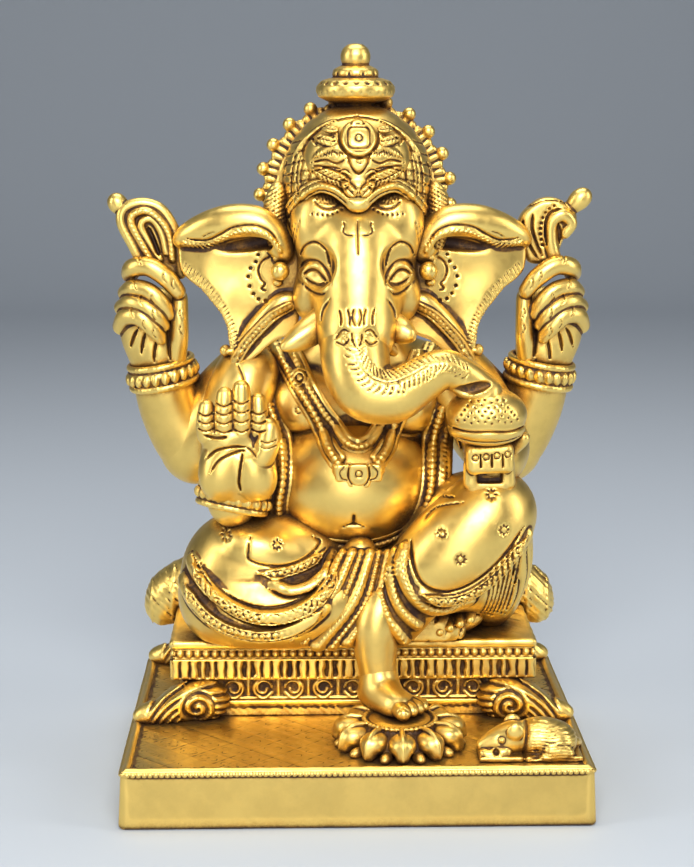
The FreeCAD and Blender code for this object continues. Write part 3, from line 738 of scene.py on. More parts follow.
def make_mouse():
    """A crouching mouse that looks to the figure's right, with a sweet in its paws."""
    clay = Clay((33, -54, GROUND - 1), (70, -33, GROUND + 14), FINE * 0.85)
    clay.ball((55.5, -43.5, GROUND + 5.2), (9.6, 6.6, 6.2), soft=0)
    clay.ball((60.5, -43.5, GROUND + 4.4), (6, 7, 5.2), soft=1.5)
    clay.ball((46.5, -44.5, GROUND + 5.6), (6.2, 5.2, 5.0), (0, -14, 0), 1.0)
    clay.limb([(43.5, -45, GROUND + 5.4, 3.6), (39.6, -45.6, GROUND + 4.3, 2.1),
               (37.2, -46, GROUND + 3.6, 1.0)], 1.2)
    for y in (-49.2, -40.6):
        clay.ball((47.2, y, GROUND + 9.0), (2.7, 1.3, 2.7), soft=0.5)
    clay.limb([(44.5, -48.6, GROUND + 2.4, 1.7), (39.5, -48.9, GROUND + 1.6, 1.5),
               (37.6, -48.4, GROUND + 2.2, 1.1)], 0.6)
    clay.limb([(58, -49.2, GROUND + 3.2, 2.4), (63, -49.4, GROUND + 2.1, 1.8),
               (56, -50.2, GROUND + 1.2, 1.4)], 0.6)
    clay.block((52, -45, GROUND + 0.7), (15.5, 6.2, 0.9), round_by=0.4, soft=0.3)
    clay.limb([(66, -42, GROUND + 3.2, 1.5), (67.5, -38, GROUND + 1.6, 1.1), (64, -35.5, GROUND + 1, 0.8)],
              0.5)
    clay.ball((53.3, -51.6, GROUND + 2.7), (1.9, 2.6, 1.9), soft=0.3, carve=1)
    clay.ball((41.5, -50.2, GROUND + 2.9), (1.0, 2.0, 1.0), soft=0.3, carve=1)

    def coat(x, z):
        fur = 0.13 * np.sin(6.4 * z + 1.1 * np.sin(x * 0.9) + 0.5
                            * np.sin(x * 3.1)) * np.clip((x - 50) / 2, 0, 1)
        collar = -0.75 * bump(x - 49.8 - 0.12 * (z - GROUND), 0.75)
        eye = 0.45 * bump(np.hypot(x - 43.2, z - GROUND - 6.2),
                          0.9) - 0.3 * bump(np.hypot(x - 43.2, z - GROUND - 6.2) - 1.1, 0.45)
        return fur + collar + eye

    clay.relief(coat, (33, -54, GROUND - 1), (70, -41, GROUND + 14), fade=3)
    clay.floor(GROUND + 0.05)
    show(clay, "mouse", "small_figure_brass")


def make_bolster():
    low, high = box_mm("bolster")
    y = (low[1] + high[1]) / 2
    clay = Clay(low - 3, high + 3, 0.55)
    z = SEAT_TOP + 7.6
    clay.limb([(-52, y, z, 8.4), (52, y, z, 8.4)], 0)
    for side in (RIGHT, LEFT):
        clay.limb([(side * 50, y, z, 8.2), (side * 60, y, z - 4.5, 7.6), (side * 63.5, y, z - 10, 5.8)], 2)
        clay.ball((side * 64.5, y, z - 9), (3.4, 6.6, 6.8), soft=1.5)

    def rough(x, z):
        return 0.35 * wobble(x, z, 11, 1.3) + 0.22 * wobble(x, z, 12,
                                                            3.1) + 0.4 * bump(repeated(np.abs(x), 7.5), 0.8)

    clay.relief(rough, low - 3, high + 3)
    field, level = clay.field, clay.axes[2]
    inside = (np.abs(clay.axes[0]) < SLAB_HIGH[0])[:, None, None]
    clay.field = np.where(inside, np.maximum(field, (SEAT_TOP - level)[None, None, :]),
                          field).astype(np.float32)
    show(clay, "bolster", "seat_brass")


# ---------------------------------------------------------------- stamps: heights drawn on a flat view


def stroke_gap(path, u, v):
    """Distance from each u, v to a run of points, and how far along the run the nearest place is."""
    u, v = np.broadcast_arrays(u, v)
    flat_u, flat_v = u.ravel().astype(np.float32), v.ravel().astype(np.float32)
    best = np.full(flat_u.shape, 1e9, np.float32)
    along = np.zeros_like(best)
    start = 0.0
    for a, b in zip(path[:-1], path[1:]):
        step = b - a
        length = float(np.hypot(*step))
        t = np.clip(((flat_u - a[0]) * step[0] + (flat_v - a[1]) * step[1]) / max(length * length, 1e-9),
                    0, 1)
        gap = np.hypot(flat_u - a[0] - t * step[0], flat_v - a[1] - t * step[1])
        nearer = gap < best
        best = np.where(nearer, gap, best)
        along = np.where(nearer, start + t * length, along)
        start += length
    return best.reshape(u.shape), along.reshape(u.shape), start


class Stamp:
    """Strokes and dots that raise or sink the surface of a clay, seen along one axis.
    Points are pairs in that view: x and z along y, y and z along x, x and y along z."""

    def __init__(self, clay, low, high, across="y"):
        self.clay, self.low, self.high, self.across = clay, low, high, across

    def press(self, points, reach, height):
        """Raises the places within a reach of some points by height(u, v)."""
        plane = {"x": (1, 2), "y": (0, 2), "z": (0, 1)}[self.across]
        low, high = list(self.low), list(self.high)
        for axis, values in zip(plane, np.array(points, float)[:, :2].T):
            low[axis] = max(low[axis], float(values.min()) - reach)
            high[axis] = min(high[axis], float(values.max()) + reach)
        if all(b > a for a, b in zip(low, high)):
            i = "xyz".index(self.across)
            self.clay.relief(height, low, high, self.across, fade=min(2.0, (high[i] - low[i]) / 2))
        return self

    def line(self, points, width, height, taper=0.0):
        """A stroke. A negative height engraves it."""
        path = curve(points, 5)[:, :2] if len(points) > 2 else np.array(points, float)[:, :2]

        def raised(u, v):
            gap, along, total = stroke_gap(path, u, v)
            slim = np.clip(np.minimum(along, total - along) / taper, 0.25, 1) if taper else 1
            return height * bump(gap, width * slim)

        return self.press(path, width, raised)

    def rope(self, points, width, height, pitch=1.6, slant=1.0, depth=0.6):
        """A raised cord with slanting grooves across it."""
        path = curve(points, 5)[:, :2]
        before = np.array(path[:-1])
        ways = np.diff(path, axis=0)
        ways /= np.linalg.norm(ways, axis=1, keepdims=True) + 1e-9

        def raised(u, v):
            gap, along, _ = stroke_gap(path, u, v)
            uu, vv = np.broadcast_arrays(u, v)
            side = np.zeros(gap.shape)
            nearest = np.full(gap.shape, 1e9)
            for a, way in zip(before, ways):
                d = (uu - a[0]) * way[0] + (vv - a[1]) * way[1]
                off = np.abs(d) + np.abs((uu - a[0]) * way[1] - (vv - a[1]) * way[0])
                hit = off < nearest
                nearest = np.where(hit, off, nearest)
                side = np.where(hit, (uu - a[0]) * way[1] - (vv - a[1]) * way[0], side)
            grooves = 0.5 + 0.5 * np.cos(2 * math.pi * (along + slant * side) / pitch)
            return height * bump(gap, width) * (1 - depth * grooves)

        return self.press(path, width, raised)

    def band(self, points, width, height, pitch, edge=0.45, kind="beads", depth=0.6, taper=0.0):
        """A raised band with two edge ridges, and beads, hatches or crosses between them."""
        path = curve(points, 5)[:, :2]
        ways = np.gradient(path, axis=0)
        ways /= np.linalg.norm(ways, axis=1, keepdims=True) + 1e-9

        def raised(u, v):
            gap, along, total = stroke_gap(path, u, v)
            uu, vv = np.broadcast_arrays(u, v)
            side = np.zeros(gap.shape)
            nearest = np.full(gap.shape, 1e9)
            for a, way in zip(path, ways):
                off = np.hypot(uu - a[0], vv - a[1])
                hit = off < nearest
                nearest = np.where(hit, off, nearest)
                side = np.where(hit, (uu - a[0]) * way[1] - (vv - a[1]) * way[0], side)
            slim = np.clip(np.minimum(along, total - along) / taper, 0.2, 1) if taper else 1
            wide = width * slim
            body = np.clip((wide - gap) / 0.4, 0, 1) * height * 0.6
            ridge = height * 0.75 * bump(gap - (wide - edge), edge)
            inner = np.clip((wide - 2 * edge - gap) / 0.3, 0, 1)
            phase = along / pitch
            if kind == "beads":
                across = (phase - np.round(phase)) * pitch
                pattern = bump(np.hypot(across, side), pitch * 0.5)
            elif kind == "cross":
                a = phase + side / pitch
                b = phase - side / pitch
                pattern = 1 - np.maximum(bump((a - np.round(a)) * pitch, 0.42),
                                         bump((b - np.round(b)) * pitch, 0.42))
            elif kind == "shells":
                bow = phase + (side / max(width, 0.1)) ** 2 * 0.5
                pattern = 1 - bump((bow - np.round(bow)) * pitch, 0.42)
            else:
                slanted = phase + 0.6 * side / pitch
                pattern = 1 - bump((slanted - np.round(slanted)) * pitch, 0.42)
            return body + ridge + inner * height * depth * pattern

        return self.press(path, width, raised)

    def ring(self, centre, radius, width, height, squeeze=1.0):
        def raised(u, v):
            gap = np.hypot(u - centre[0], (v - centre[1]) * squeeze) - radius
            return height * bump(gap, width)

        return self.press([centre, centre], radius + width, raised)

    def dot(self, centre, radius, height):
        return self.press([centre, centre], radius, lambda u, v: height * bump(
            np.hypot(u - centre[0], v - centre[1]), radius))

    def dots(self, points, pitch, radius, height):
        for spot in evenly(curve(points, 5), pitch):
            self.dot(spot[:2], radius, height)
        return self

    def leaf(self, root, tip, width, height, veins=4, bend=0.0):
        """A raised leaf with a mid line and slanting veins, from its root to its tip."""
        root, tip = np.array(root, float), np.array(tip, float)
        way = tip - root
        length = float(np.hypot(*way))
        way /= length

        def raised(u, v):
            along = ((u - root[0]) * way[0] + (v - root[1]) * way[1]) / length
            bow = bend * np.sin(math.pi * np.clip(along, 0, 1))
            side = (u - root[0]) * way[1] - (v - root[1]) * way[0] - bow
            half = width * np.sqrt(np.clip(np.sin(math.pi * np.clip(along, 0, 1) ** 0.8), 0, 1))
            body = np.clip((half - np.abs(side)) / 0.5, 0, 1) * height
            groove = bump(side, 0.3)
            slant = (along * length + np.abs(side) * 0.9) / (length / (veins + 1))
            groove = np.maximum(groove, 0.7 * bump((slant - np.round(slant)) * length / (veins + 1), 0.35))
            edge = -0.5 * height * bump(half + 0.25 - np.abs(side), 0.3) * (np.abs(along - 0.5) < 0.5)
            return body * (1 - 0.75 * groove) + edge

        return self.press([root, tip], width + 1, raised)

    def daisy(self, centre, radius, strokes=8, depth=0.7):
        """A small engraved flower of short strokes round a middle."""
        def raised(u, v):
            du, dv = u - centre[0], v - centre[1]
            r = np.hypot(du, dv)
            turn = np.arctan2(dv, du) * strokes / (2 * math.pi)
            gap = np.abs(turn - np.round(turn)) * 2 * math.pi / strokes * r
            return -depth * bump(gap, 0.5) * np.clip((r - radius * 0.25) / 0.3, 0,
                                                     1) * np.clip((radius - r) / 0.4, 0, 1)

        return self.press([centre, centre], radius + 0.5, raised)


def inside(points, u, v):
    """Signed distance to a closed outline on a flat view, negative inside."""
    path = np.vstack([points, points[:1]])
    gap, _, _ = stroke_gap(path, u, v)
    uu, vv = np.broadcast_arrays(u, v)
    within = np.zeros(gap.shape, bool)
    for a, b in zip(path[:-1], path[1:]):
        crosses = (a[1] > vv) != (b[1] > vv)
        rise = b[1] - a[1] if abs(b[1] - a[1]) > 1e-9 else 1e-9
        within ^= crosses & (uu < (b[0] - a[0]) * (vv - a[1]) / rise + a[0])
    return np.where(within, -gap, gap)


def plate(clay, outline, middle, half, round_by=0.8, soft=1.0):
    """Adds a plate seen from the front: an outline of x, z and a middle y that may be a function."""
    path = curve(np.vstack([outline, outline[:1]]), 4)[:-1, :2]
    low = np.array([path[:, 0].min() - 1, -60, path[:, 1].min() - 1])
    high = np.array([path[:, 0].max() + 1, 60, path[:, 1].max() + 1])

    def distance(x, y, z):
        edge = inside(path, x, z) + round_by
        centre = middle(x, z) if callable(middle) else middle
        depth = np.abs(y - centre) - half + round_by
        return (np.hypot(np.maximum(edge, 0), np.maximum(depth, 0))
                + np.minimum(np.maximum(edge, depth), 0) - round_by)

    return clay.apply(low, high, distance, soft, 0)


# ---------------------------------------------------------------- head, trunk, tusks and ears


def trunk_marks(stamp):
    """Engraved petals where the trunk leaves the forehead."""
    for side in (RIGHT, LEFT):
        for x in (2.3, 4.9):
            base = 0.4 + side * x
            stamp.line([(base + 0.5 * side, 150.6), (base - 0.2 * side, 148), (base - 0.1 * side, 145.4)],
                       0.45, -0.85, 0.8)
        stamp.line([(0.4 + 0.8 * side, 150.6), (0.4 + 1.4 * side, 148), (0.4 + 0.4 * side, 145.4)], 0.45,
                   -0.85, 0.8)
        stamp.line([(0.4 + 2.2 * side, 143.8), (0.4 + 4.2 * side, 144.4), (0.4 + 6.4 * side, 141.6)], 0.45,
                   -0.8, 0.8)
        stamp.line([(0.4 + 2.2 * side, 141.8), (0.4 + 4.0 * side, 140.2), (0.4 + 6.4 * side, 140.9)], 0.45,
                   -0.8, 0.8)
    stamp.line([(0.4 + 1.5, 143.8), (0.4 + 1.3, 141.4), (0.4 + 0.3, 139.4)], 0.45, -0.8, 0.8)
    stamp.line([(0.4 - 1.5, 143.8), (0.4 - 1.3, 141.4), (0.4 - 0.3, 139.4)], 0.45, -0.8, 0.8)


def make_head():
    clay = Clay((-26, -30, 132), (29, 30, 190))
    clay.ball((1.5, 9, 163), (20.2, 18, 22))
    clay.ball((1.2, -1, 168), (17.5, 11, 14), soft=5)
    for x in (-9.5, 12):
        clay.ball((x, -0.5, 174.5), (10, 9, 11.5), soft=4)
    clay.limb([(1.2, -3, 168, 12), (1.1, -7, 157, 11.6), (1, -12, 148, 10.6), (0.4, -16.6, 141.2, 9.9)],
              soft=4)
    for side in (RIGHT, LEFT):
        x = 1.1 + 13.3 * side
        clay.ball((x, -13.4, 161.5), (6.6, 4.0, 6.2), (0, 0, 24 * side), soft=3, carve=1)
        clay.ball((x + 0.4 * side, -0.4, 151.5), (6.2, 6.6, 8), soft=5)
        clay.ball((x - 0.3 * side, -4.3, 158.9), (5.0, 4.2, 3.3), (0, 0, 24 * side), soft=1.6)
    stamp = Stamp(clay, (-26, -32, 132), (29, 4, 190))
    trunk_marks(stamp)
    for side in (RIGHT, LEFT):
        def spot(x, z):
            return 1.1 + side * x, z
        stamp.line([spot(17.2, 159.2), spot(15, 161.7), spot(12, 161.6), spot(9.2, 158.4)], 0.9, 0.45, 2)
        stamp.line([spot(16.6, 157.2), spot(14, 155.4), spot(11.2, 155.1), spot(9.2, 156.6)], 0.8, 0.35, 2)
        stamp.line([spot(16.7, 158.7), spot(14.6, 160.4), spot(12.2, 160.2), spot(9.5, 157.3)], 0.5, -0.85,
                   1)
        stamp.line([spot(16.2, 158.2), spot(13.8, 156.7), spot(11.4, 156.3), spot(9.5, 157.2)], 0.45,
                   -0.75, 1)
        stamp.line([spot(17.8, 160.2), spot(15.4, 163.1), spot(12, 163.3), spot(9.2, 160.4),
                    spot(8.1, 157.2)], 0.5, -0.8, 1.5)
        stamp.line([spot(16.6, 155.8), spot(14, 154.0), spot(11.2, 153.8), spot(9.6, 155.0)], 0.5, -0.7,
                   1.5)
        stamp.line([spot(17.6, 164.4), spot(16, 167.8), spot(12.8, 169.2), spot(9.6, 166.8),
                    spot(8.4, 161.8)], 0.5, -0.8, 1.5)
        stamp.line([spot(8.6, 153), spot(10.6, 149.6), spot(11.4, 146)], 0.6, -0.6, 2)
        for k in range(3):
            stamp.line([spot(17.6 + 1.1 * k, 176 - k), spot(19.2 + 0.8 * k, 168),
                        spot(18.6 + 0.8 * k, 161)], 0.35, -0.35, 3)
        fringe = [spot(13.8, 177.6), spot(8.6, 177.4), spot(4.8, 179)]
        stamp.dots(fringe, 1.7, 0.62, -0.6)
        lens = [spot(13.4, 181.6), spot(10.6, 179.4), spot(7.2, 179.4), spot(3.4, 182.2)]
        stamp.line(lens, 0.45, -0.65, 1)
        for k in range(8):
            x = 5.2 + 1.0 * k
            stamp.line([spot(x, 180.6 + 0.2 * abs(k - 4)), spot(x + 0.7, 184)], 0.28, -0.4)
            stamp.line([spot(x + 0.9, 180.4), spot(x - 0.6, 183.8)], 0.25, -0.28)
    stamp.line([(0.9, 176.8), (0.9, 171.6), (1.0, 166)], 0.42, -0.75, 2)
    for side in (RIGHT, LEFT):
        stamp.line([(1.0 + 4.9 * side, 175.4), (1.0 + 3.9 * side, 174.9), (1.0 + 4.4 * side, 172.6),
                    (1.0 + 2.6 * side, 171.5), (1.0 + 1.2 * side, 172)], 0.38, -0.55, 1)
    return show(clay, "head")


TRUNK = [(1.3, -3, 158, 9.5), (1, -10.6, 148, 10.0), (-0.1, -19.4, 137, 10.0), (2.6, -24, 126.6, 9.0),
         (11.5, -26, 124.4, 7.7),
         (19.5, -26.5, 129.2, 6.4), (26.4, -26, 132.4, 5.4), (32, -24.6, 130.2, 4.9),
         (36.4, -23.4, 126.6, 5.2)]


def make_trunk():
    clay = Clay((-13, -36, 112), (45, 8, 174))
    clay.limb(TRUNK, soft=1.2, per_span=8)
    clay.cone(np.array([36.4, -23.4, 126.6, 5.1]), np.array([38.6, -22.8, 124.2, 6.2]), 1.0, 0)
    clay.limb([(29, -29, 125.4, 1.4), (33, -29.4, 126.3, 1.9), (37, -28.9, 127.3, 1.7),
               (40.4, -27.4, 128.0, 0.9)], carve=1)
    stamp = Stamp(clay, (-13, -38, 112), (45, -16, 174))
    middle = curve([(0.2, 142), (0.4, 136.5), (4.4, 131.2), (10, 129.4), (16, 131.6), (22, 134.6),
                    (28, 134.8), (33, 132)], 6)[:, :2]
    for place in evenly(middle, 1.55):
        i = int(np.argmin(np.hypot(*(middle - place).T)))
        way = middle[min(i + 1, len(middle) - 1)] - middle[max(i - 1, 0)]
        way = way / np.hypot(*way)
        across = np.array([-way[1], way[0]])
        reach = 2.4 if place[0] < 24 else 1.6
        stamp.line([place + across * reach * 0.15 + way * 0.7, place + across * reach * 0.7 - way * 0.1,
                    place + across * reach * 1.3 - way * 1.2], 0.3, -0.45, 0.8)
        stamp.line([place - across * reach * 0.15 + way * 0.7, place - across * reach * 0.9 + way * 0.3,
                    place - across * reach * 1.7 - way * 0.9], 0.3, -0.45, 0.8)
    flat = middle[4:30]
    stamp.line(flat, 0.4, -0.3)
    trunk_marks(stamp)
    stamp.line([(30.6, 127), (32.6, 130.4), (34.6, 133.2)], 0.3, -0.2, 1)
    return show(clay, "trunk")


def make_tusks():
    clay = Clay((-26, -24, 130), (-2, 0, 154))
    clay.limb([(-7, -9, 146.2, 5), (-13.4, -14, 142.4, 4.3), (-18, -17, 139.8, 2.9),
               (-21.6, -19, 138.2, 1.0)], soft=1)
    clay.limb([(-7.6, -8.4, 151, 2), (-9.8, -12.5, 148, 2.3), (-9.4, -14.8, 143.4, 2.3),
               (-7.6, -14.6, 138.6, 1.9)], soft=0.5)
    show(clay, "right_tusk")
    clay = Clay((4, -26, 128), (26, -2, 156))
    clay.limb([(9, -10, 145, 4.6), (13, -14.6, 143.2, 3.9), (15.2, -17.2, 142.2, 3.1)], soft=1)
    clay.limb([(10, -10, 150.6, 1.7), (8.6, -13, 147.8, 1.9), (8.4, -15.6, 143.4, 2.0),
               (9.8, -16, 138.6, 1.9),
               (12, -14.6, 136, 1.5)], soft=0.4)
    clay.ball((16.2, -18, 141.9), (2.7, 2.7, 2.8), soft=0.3)
    show(clay, "left_tusk")


def make_ear(side):
    name = "left" if side == LEFT else "right"
    low, high = sorted((side * 14, side * 60))
    clay = Clay((low, -8, 124), (high, 16, 182))
    outline = mirrored([(54.6, 168.5), (54.2, 160), (51.4, 156.3), (47.6, 153.4), (44.4, 149.6),
                        (41.4, 145.6),
                        (39.6, 141.4), (38.8, 136.6), (37.4, 130.6), (35, 129.2), (30.4, 132.4),
                        (24.6, 137.2), (18, 140.6),
                        (16.4, 150), (16.6, 164), (21, 172), (28, 176.4), (38, 177.4), (47, 174.6)], side)

    def middle(x, z):
        out = np.abs(x)
        return 3.2 + 4.2 * ((out - 27) / 27) ** 2 + 0.04 * (z - 150)

    plate(clay, np.array(outline), middle, 2.1, 0.9, soft=1.5)
    clay.ball((side * 36, -4.2, 160), (15, 7.2, 9.5), (0, side * 8, 0), soft=3, carve=1)
    clay.ball((side * 33.4, -3.6, 148), (8.5, 6, 12), (0, -side * 22, 0), soft=3, carve=1)
    clay.limb(mirrored([(54.4, 7.2, 168.2, 1.7), (50.6, 5.6, 170.6, 3.1), (44.6, 4, 172.8, 4.3),
                        (37.6, 2.8, 174.4, 4.8),
                        (30.2, 1.8, 174.2, 4.6), (24.6, 1.2, 170.4, 4.0), (21.6, 1, 164.8, 2.8)], side),
                        soft=1.5)
    clay.ball((side * 33, 0.4, 167.2), (11.5, 4.6, 2.6), (0, side * 8, 0), soft=1, carve=1)
    clay.limb(mirrored([(18.5, 1.0, 150.5, 1.8), (22.4, 0.4, 149.6, 2.3), (27.6, 0.8, 144.6, 2.5),
                        (32, 2, 139.2, 2.3),
                        (36.2, 3, 132.6, 1.9)], side), soft=1.2)
    stamp = Stamp(clay, (low, -10, 124), (high, 7.5, 182))
    hem = mirrored([(52.4, 167.6), (49, 166.9), (45, 167.0), (40.8, 169.0), (36.8, 171.2), (31, 171.9),
                    (26, 170.2), (22.6, 165.8)], side)
    stamp.rope(hem, 1.35, 1.0, 1.5, 1.2 * side)
    stamp.line([(x, z + 2.0) for x, z in hem], 0.5, -0.7, 3)
    stamp.line(mirrored([(47, 169.6), (44.8, 171), (42.6, 171.6)], side), 0.4, -0.4, 1)
    fringe = evenly(curve(mirrored([(53.4, 158.6), (49.6, 155.6), (46.6, 152.6), (43.4, 148.6),
                                    (40.8, 144.2), (39, 139.4),
                                    (38, 133.4)], side), 5), 1.15)
    for a, b in zip(fringe[:-1], fringe[1:]):
        way = (b - a) / np.hypot(*(b - a)[:2])
        inward = np.array([way[1], -way[0]]) * (1 if (way[1] * side) < 0 else -1)
        stamp.line([a[:2] + inward * 0.1, a[:2] + inward * 2.4 + np.array([0, 0.9])], 0.27, -0.5)
    for x, z in [(29.4, 164.2), (30.2, 162), (31.8, 160), (32.6, 157.4), (32.2, 154.4), (31, 152),
                 (29.4, 150.4), (27.2, 149.9)]:
        stamp.dot((side * x, z), 0.85, -1.0)
    stamp.line(mirrored([(25.4, 163.8), (28.2, 162.2), (29.4, 159.4), (28.6, 156.6), (27.4, 155.2),
                         (28.4, 153.6), (26.6, 153)], side), 0.5, -0.8, 1)
    stamp.band(mirrored([(19.6, 148.4), (24.8, 145.6), (29.4, 141.2), (33.4, 136.6), (36.8, 131.2)], side),
               1.9, 0.7, 1.5,
               kind="beads")
    return dress(clay.mesh(f"{name}_ear_piece"), "figure_brass", BRASS, f"{name}_ear")


def make_ear_studs():
    clay = Clay((-28, -10, 153), (29, 6, 168), voxel=0.32)
    for side in (RIGHT, LEFT):
        x = 22.6 * side + (0.6 if side == LEFT else 0)
        clay.ball((x, -2.6, 159.6), 2.9, soft=0)
        clay.ball((x + side * 0.8, 0.5, 163.6), (1.6, 1.8, 1.5), soft=0.4)
        clay.ball((x + side * 0.8, 0.5, 155.8), (1.7, 1.8, 1.4), soft=0.4)
    return show(clay, "ear_studs")


# ---------------------------------------------------------------- crown and halo


def make_crown():
    clay = Clay((-28, -22, 160), (31, 34, 214))
    clay.ball((1.5, 9.5, 186.5), (23.6, 19.6, 24))
    stamp = Stamp(clay, (-28, -24, 160), (31, 8, 214))
    for side in (RIGHT, LEFT):
        for k in range(5):
            x = 13.5 + 2.7 * k
            stamp.line([(1.2 + side * x, 200 - k * 2.4), (1.2 + side * (x + 1.2), 188),
                        (1.2 + side * (x + 1.4), 174)], 0.42, -0.6)
        for k in range(8):
            z = 178 + 3.0 * k
            stamp.line([(1.2 + side * 11.5, z + 1), (1.2 + side * 17, z + 0.3),
                        (1.2 + side * 24.6, z - 2.4)], 0.4, -0.55)
        for k in range(3):
            for i in range(4):
                stamp.ring((1.2 + side * (15.6 + 2.7 * k), 180.8 + 3 * i - 0.4 * k), 0.62, 0.36, 0.35)
    arch = [(-22.6, 165.5), (-21.6, 171.5), (-19.2, 178.2), (-15.2, 183.4), (-10.3, 186.1), (-5.4, 184.9),
            (-1.8, 182.2), (1, 180.7),
            (3.8, 182.2), (7.4, 184.9), (12.7, 186.2), (17.4, 183.4), (21.4, 178.2), (23.8, 171.5),
            (24.8, 165.5)]
    path = curve(arch, 8)[:, :2]
    laid = clay.drape([(x, z) for x, z in path], 0.4)
    for x, z in ((-10.6, 172), (13, 172)):
        clay.ball((x, -11, z), (11.4, 16, 13.4), (0, 0, 0), soft=0.4, carve=1)
    clay.ball((1.2, -16, 166), (22, 16, 13), soft=0.4, carve=1)
    clay.rod(laid, 2.0, 0.4)
    stamp = Stamp(clay, (-28, -24, 160), (31, 12, 214))
    stamp.rope(path[::4], 1.0, 0.8, 1.25, 1.1)
    for gap in (1.75, -1.75):
        ways = np.gradient(path, axis=0)
        ways /= np.linalg.norm(ways, axis=1, keepdims=True)
        stamp.line((path + np.stack([-ways[:, 1], ways[:, 0]], 1) * gap * 0.72)[::4], 0.36, -0.6)
    for turn in np.linspace(-1.15, 1.15, 46):
        x = 1.2 + 20.6 * math.sin(turn)
        z = 188 + 18.2 * math.cos(turn)
        y = clay.front(x, z)
        if y is not None and abs(turn) > 0.3:
            clay.ball((x, y + 0.1, z), 0.85, soft=0.2)
    stamp.ring((1.2, 188), 18.6, 0.5, -0.5)
    clay.ball((1.2, -11.4, 180.6), (3.4, 2.2, 2.4), soft=1.4)
    return show(clay, "crown")


def make_crest():
    clay = Clay((-18, -20, 178), (21, 4, 214), voxel=0.32)
    low, high = (-18, -22, 178), (21, 6, 214)
    clay.ball((1.2, -2.6, 194.6), (16.2, 9.6, 12.4), (-18, 0, 0))
    clay.ball((1, -0.5, 205.6), (4.8, 5.2, 7.2), (-22, 0, 0), soft=1.5)
    clay.ball((1.2, -10.8, 184.2), (4.8, 2.8, 4.4), soft=1.5)
    clay.ball((1.3, 4, 196), (19, 12.6, 30), (-12, 0, 0), soft=0.5, carve=1)
    stamp = Stamp(clay, low, high)
    centre = (1.4, 200.6)
    stamp.press([centre, centre], 6, lambda u,
                v: 1.0 * np.clip((5.7 - np.hypot(u - centre[0], v - centre[1])) / 0.7, 0, 1))
    stamp.ring(centre, 5.9, 0.5, -1.0)
    stamp.ring(centre, 4.8, 0.7, 0.5)
    stamp.press([centre, centre], 5, lambda u, v: -0.55 * bump(
        (np.abs((u - centre[0]) / 3.3) ** 4 + np.abs((v - centre[1]) / 3.1) ** 4) ** 0.25 * 3.2 - 3.2,
        0.42))
    stamp.ring(centre, 1.0, 0.36, -0.5)
    stamp.line([(-0.9, 204.6), (-1.2, 207.4), (0.9, 209.9), (3.2, 207.4), (2.9, 204.6)], 0.45, -0.8)
    stamp.dot((1, 206.8), 1.7, 0.8)
    drop = [(-1.8, 195.6), (-1.2, 192.6), (1.3, 189.8), (3.8, 192.6), (4.4, 195.6)]
    stamp.press([(1.3, 192.6)] * 2, 4, lambda u,
                v: 0.9 * np.clip((2.9 - np.hypot(u - 1.3, (v - 193.4) * 0.9)) / 0.7, 0, 1))
    stamp.line(drop, 0.45, -0.8, 1)
    stamp.ring((1.6, 193.8), 0.8, 0.32, -0.45)
    for side in (RIGHT, LEFT):
        def spot(x, z):
            return 1.2 + side * x, z
        stamp.line([spot(3.2, 194.6), spot(6.4, 193.0), spot(9.8, 194.0), spot(14.2, 193.0)], 0.5, -0.85, 2)
        stamp.line([spot(4.2, 196.2), spot(7.4, 197.6), spot(11, 196.2), spot(13.6, 194.4)], 1.3, 0.9, 2)
        for k in range(11):
            x = 4.4 + 0.8 * k
            stamp.line([spot(x, 197.6 - 0.12 * k), spot(x + 0.5, 195.4 - 0.08 * k)], 0.22, -0.5)
        stamp.line([spot(12.8, 199.6), spot(10.2, 201.4), spot(7.4, 200.4), spot(6.8, 198.6)], 0.5, -0.7, 1)
        stamp.leaf(spot(6.4, 199.2), spot(13.2, 200.6), 1.7, 0.9, 5)
        stamp.leaf(spot(5.8, 203.0), spot(11.4, 203.2), 1.3, 0.8, 4)
        stamp.line([spot(12.6, 198.4), spot(13.6, 199.8), spot(12.8, 201.2)], 0.45, -0.7)
        stamp.leaf(spot(2.6, 186.8), spot(13.8, 191.4), 2.6, 1.2, 7, bend=side * 0.6)
        stamp.leaf(spot(1.0, 183.2), spot(5.0, 187.6), 1.7, 1.1, 2)
        stamp.ring(spot(4.4, 188.8), 1.0, 0.4, -0.6)
        stamp.line([spot(5.4, 191.4), spot(9.4, 191.8), spot(14, 190.4)], 0.42, -0.7, 1)
        stamp.line([spot(2.2, 189.8), spot(4, 191.2), spot(6.4, 190.2)], 0.42, -0.7, 1)
    stamp.dot((1.1, 184.6), 1.8, 0.9)
    return show(clay, "crown_crest")


def make_crown_rolls():
    clay = Clay((-31, -4, 160), (33, 13, 187), voxel=0.34)
    for side in (RIGHT, LEFT):
        hub = 1.2
        clay.limb([(hub + side * 23.6, 4.2, 164.5, 2.7), (hub + side * 25.2, 4, 172, 3.5),
                   (hub + side * 25.4, 4.6, 179, 3.4),
                   (hub + side * 24.4, 5.4, 184, 2.7)], soft=0.6)
    stamp = Stamp(clay, (-31, -6, 160), (33, 5, 187))
    for side in (RIGHT, LEFT):
        for k in range(17):
            z = 163.5 + 1.35 * k
            stamp.line([(1.2 + side * 22, z + 1.2), (1.2 + side * 25, z), (1.2 + side * 28.6, z - 2.0)],
                       0.32, -0.5)
        stamp.line([(1.2 + side * 25.0, 164), (1.2 + side * 26, 173), (1.2 + side * 25.2, 184)], 0.3, -0.35)
        for z in (163.6, 161.9):
            clay.ball((1.2 + side * 23.4, 3.2, z), 1.7, soft=0.2)
    return show(clay, "crown_rolls")


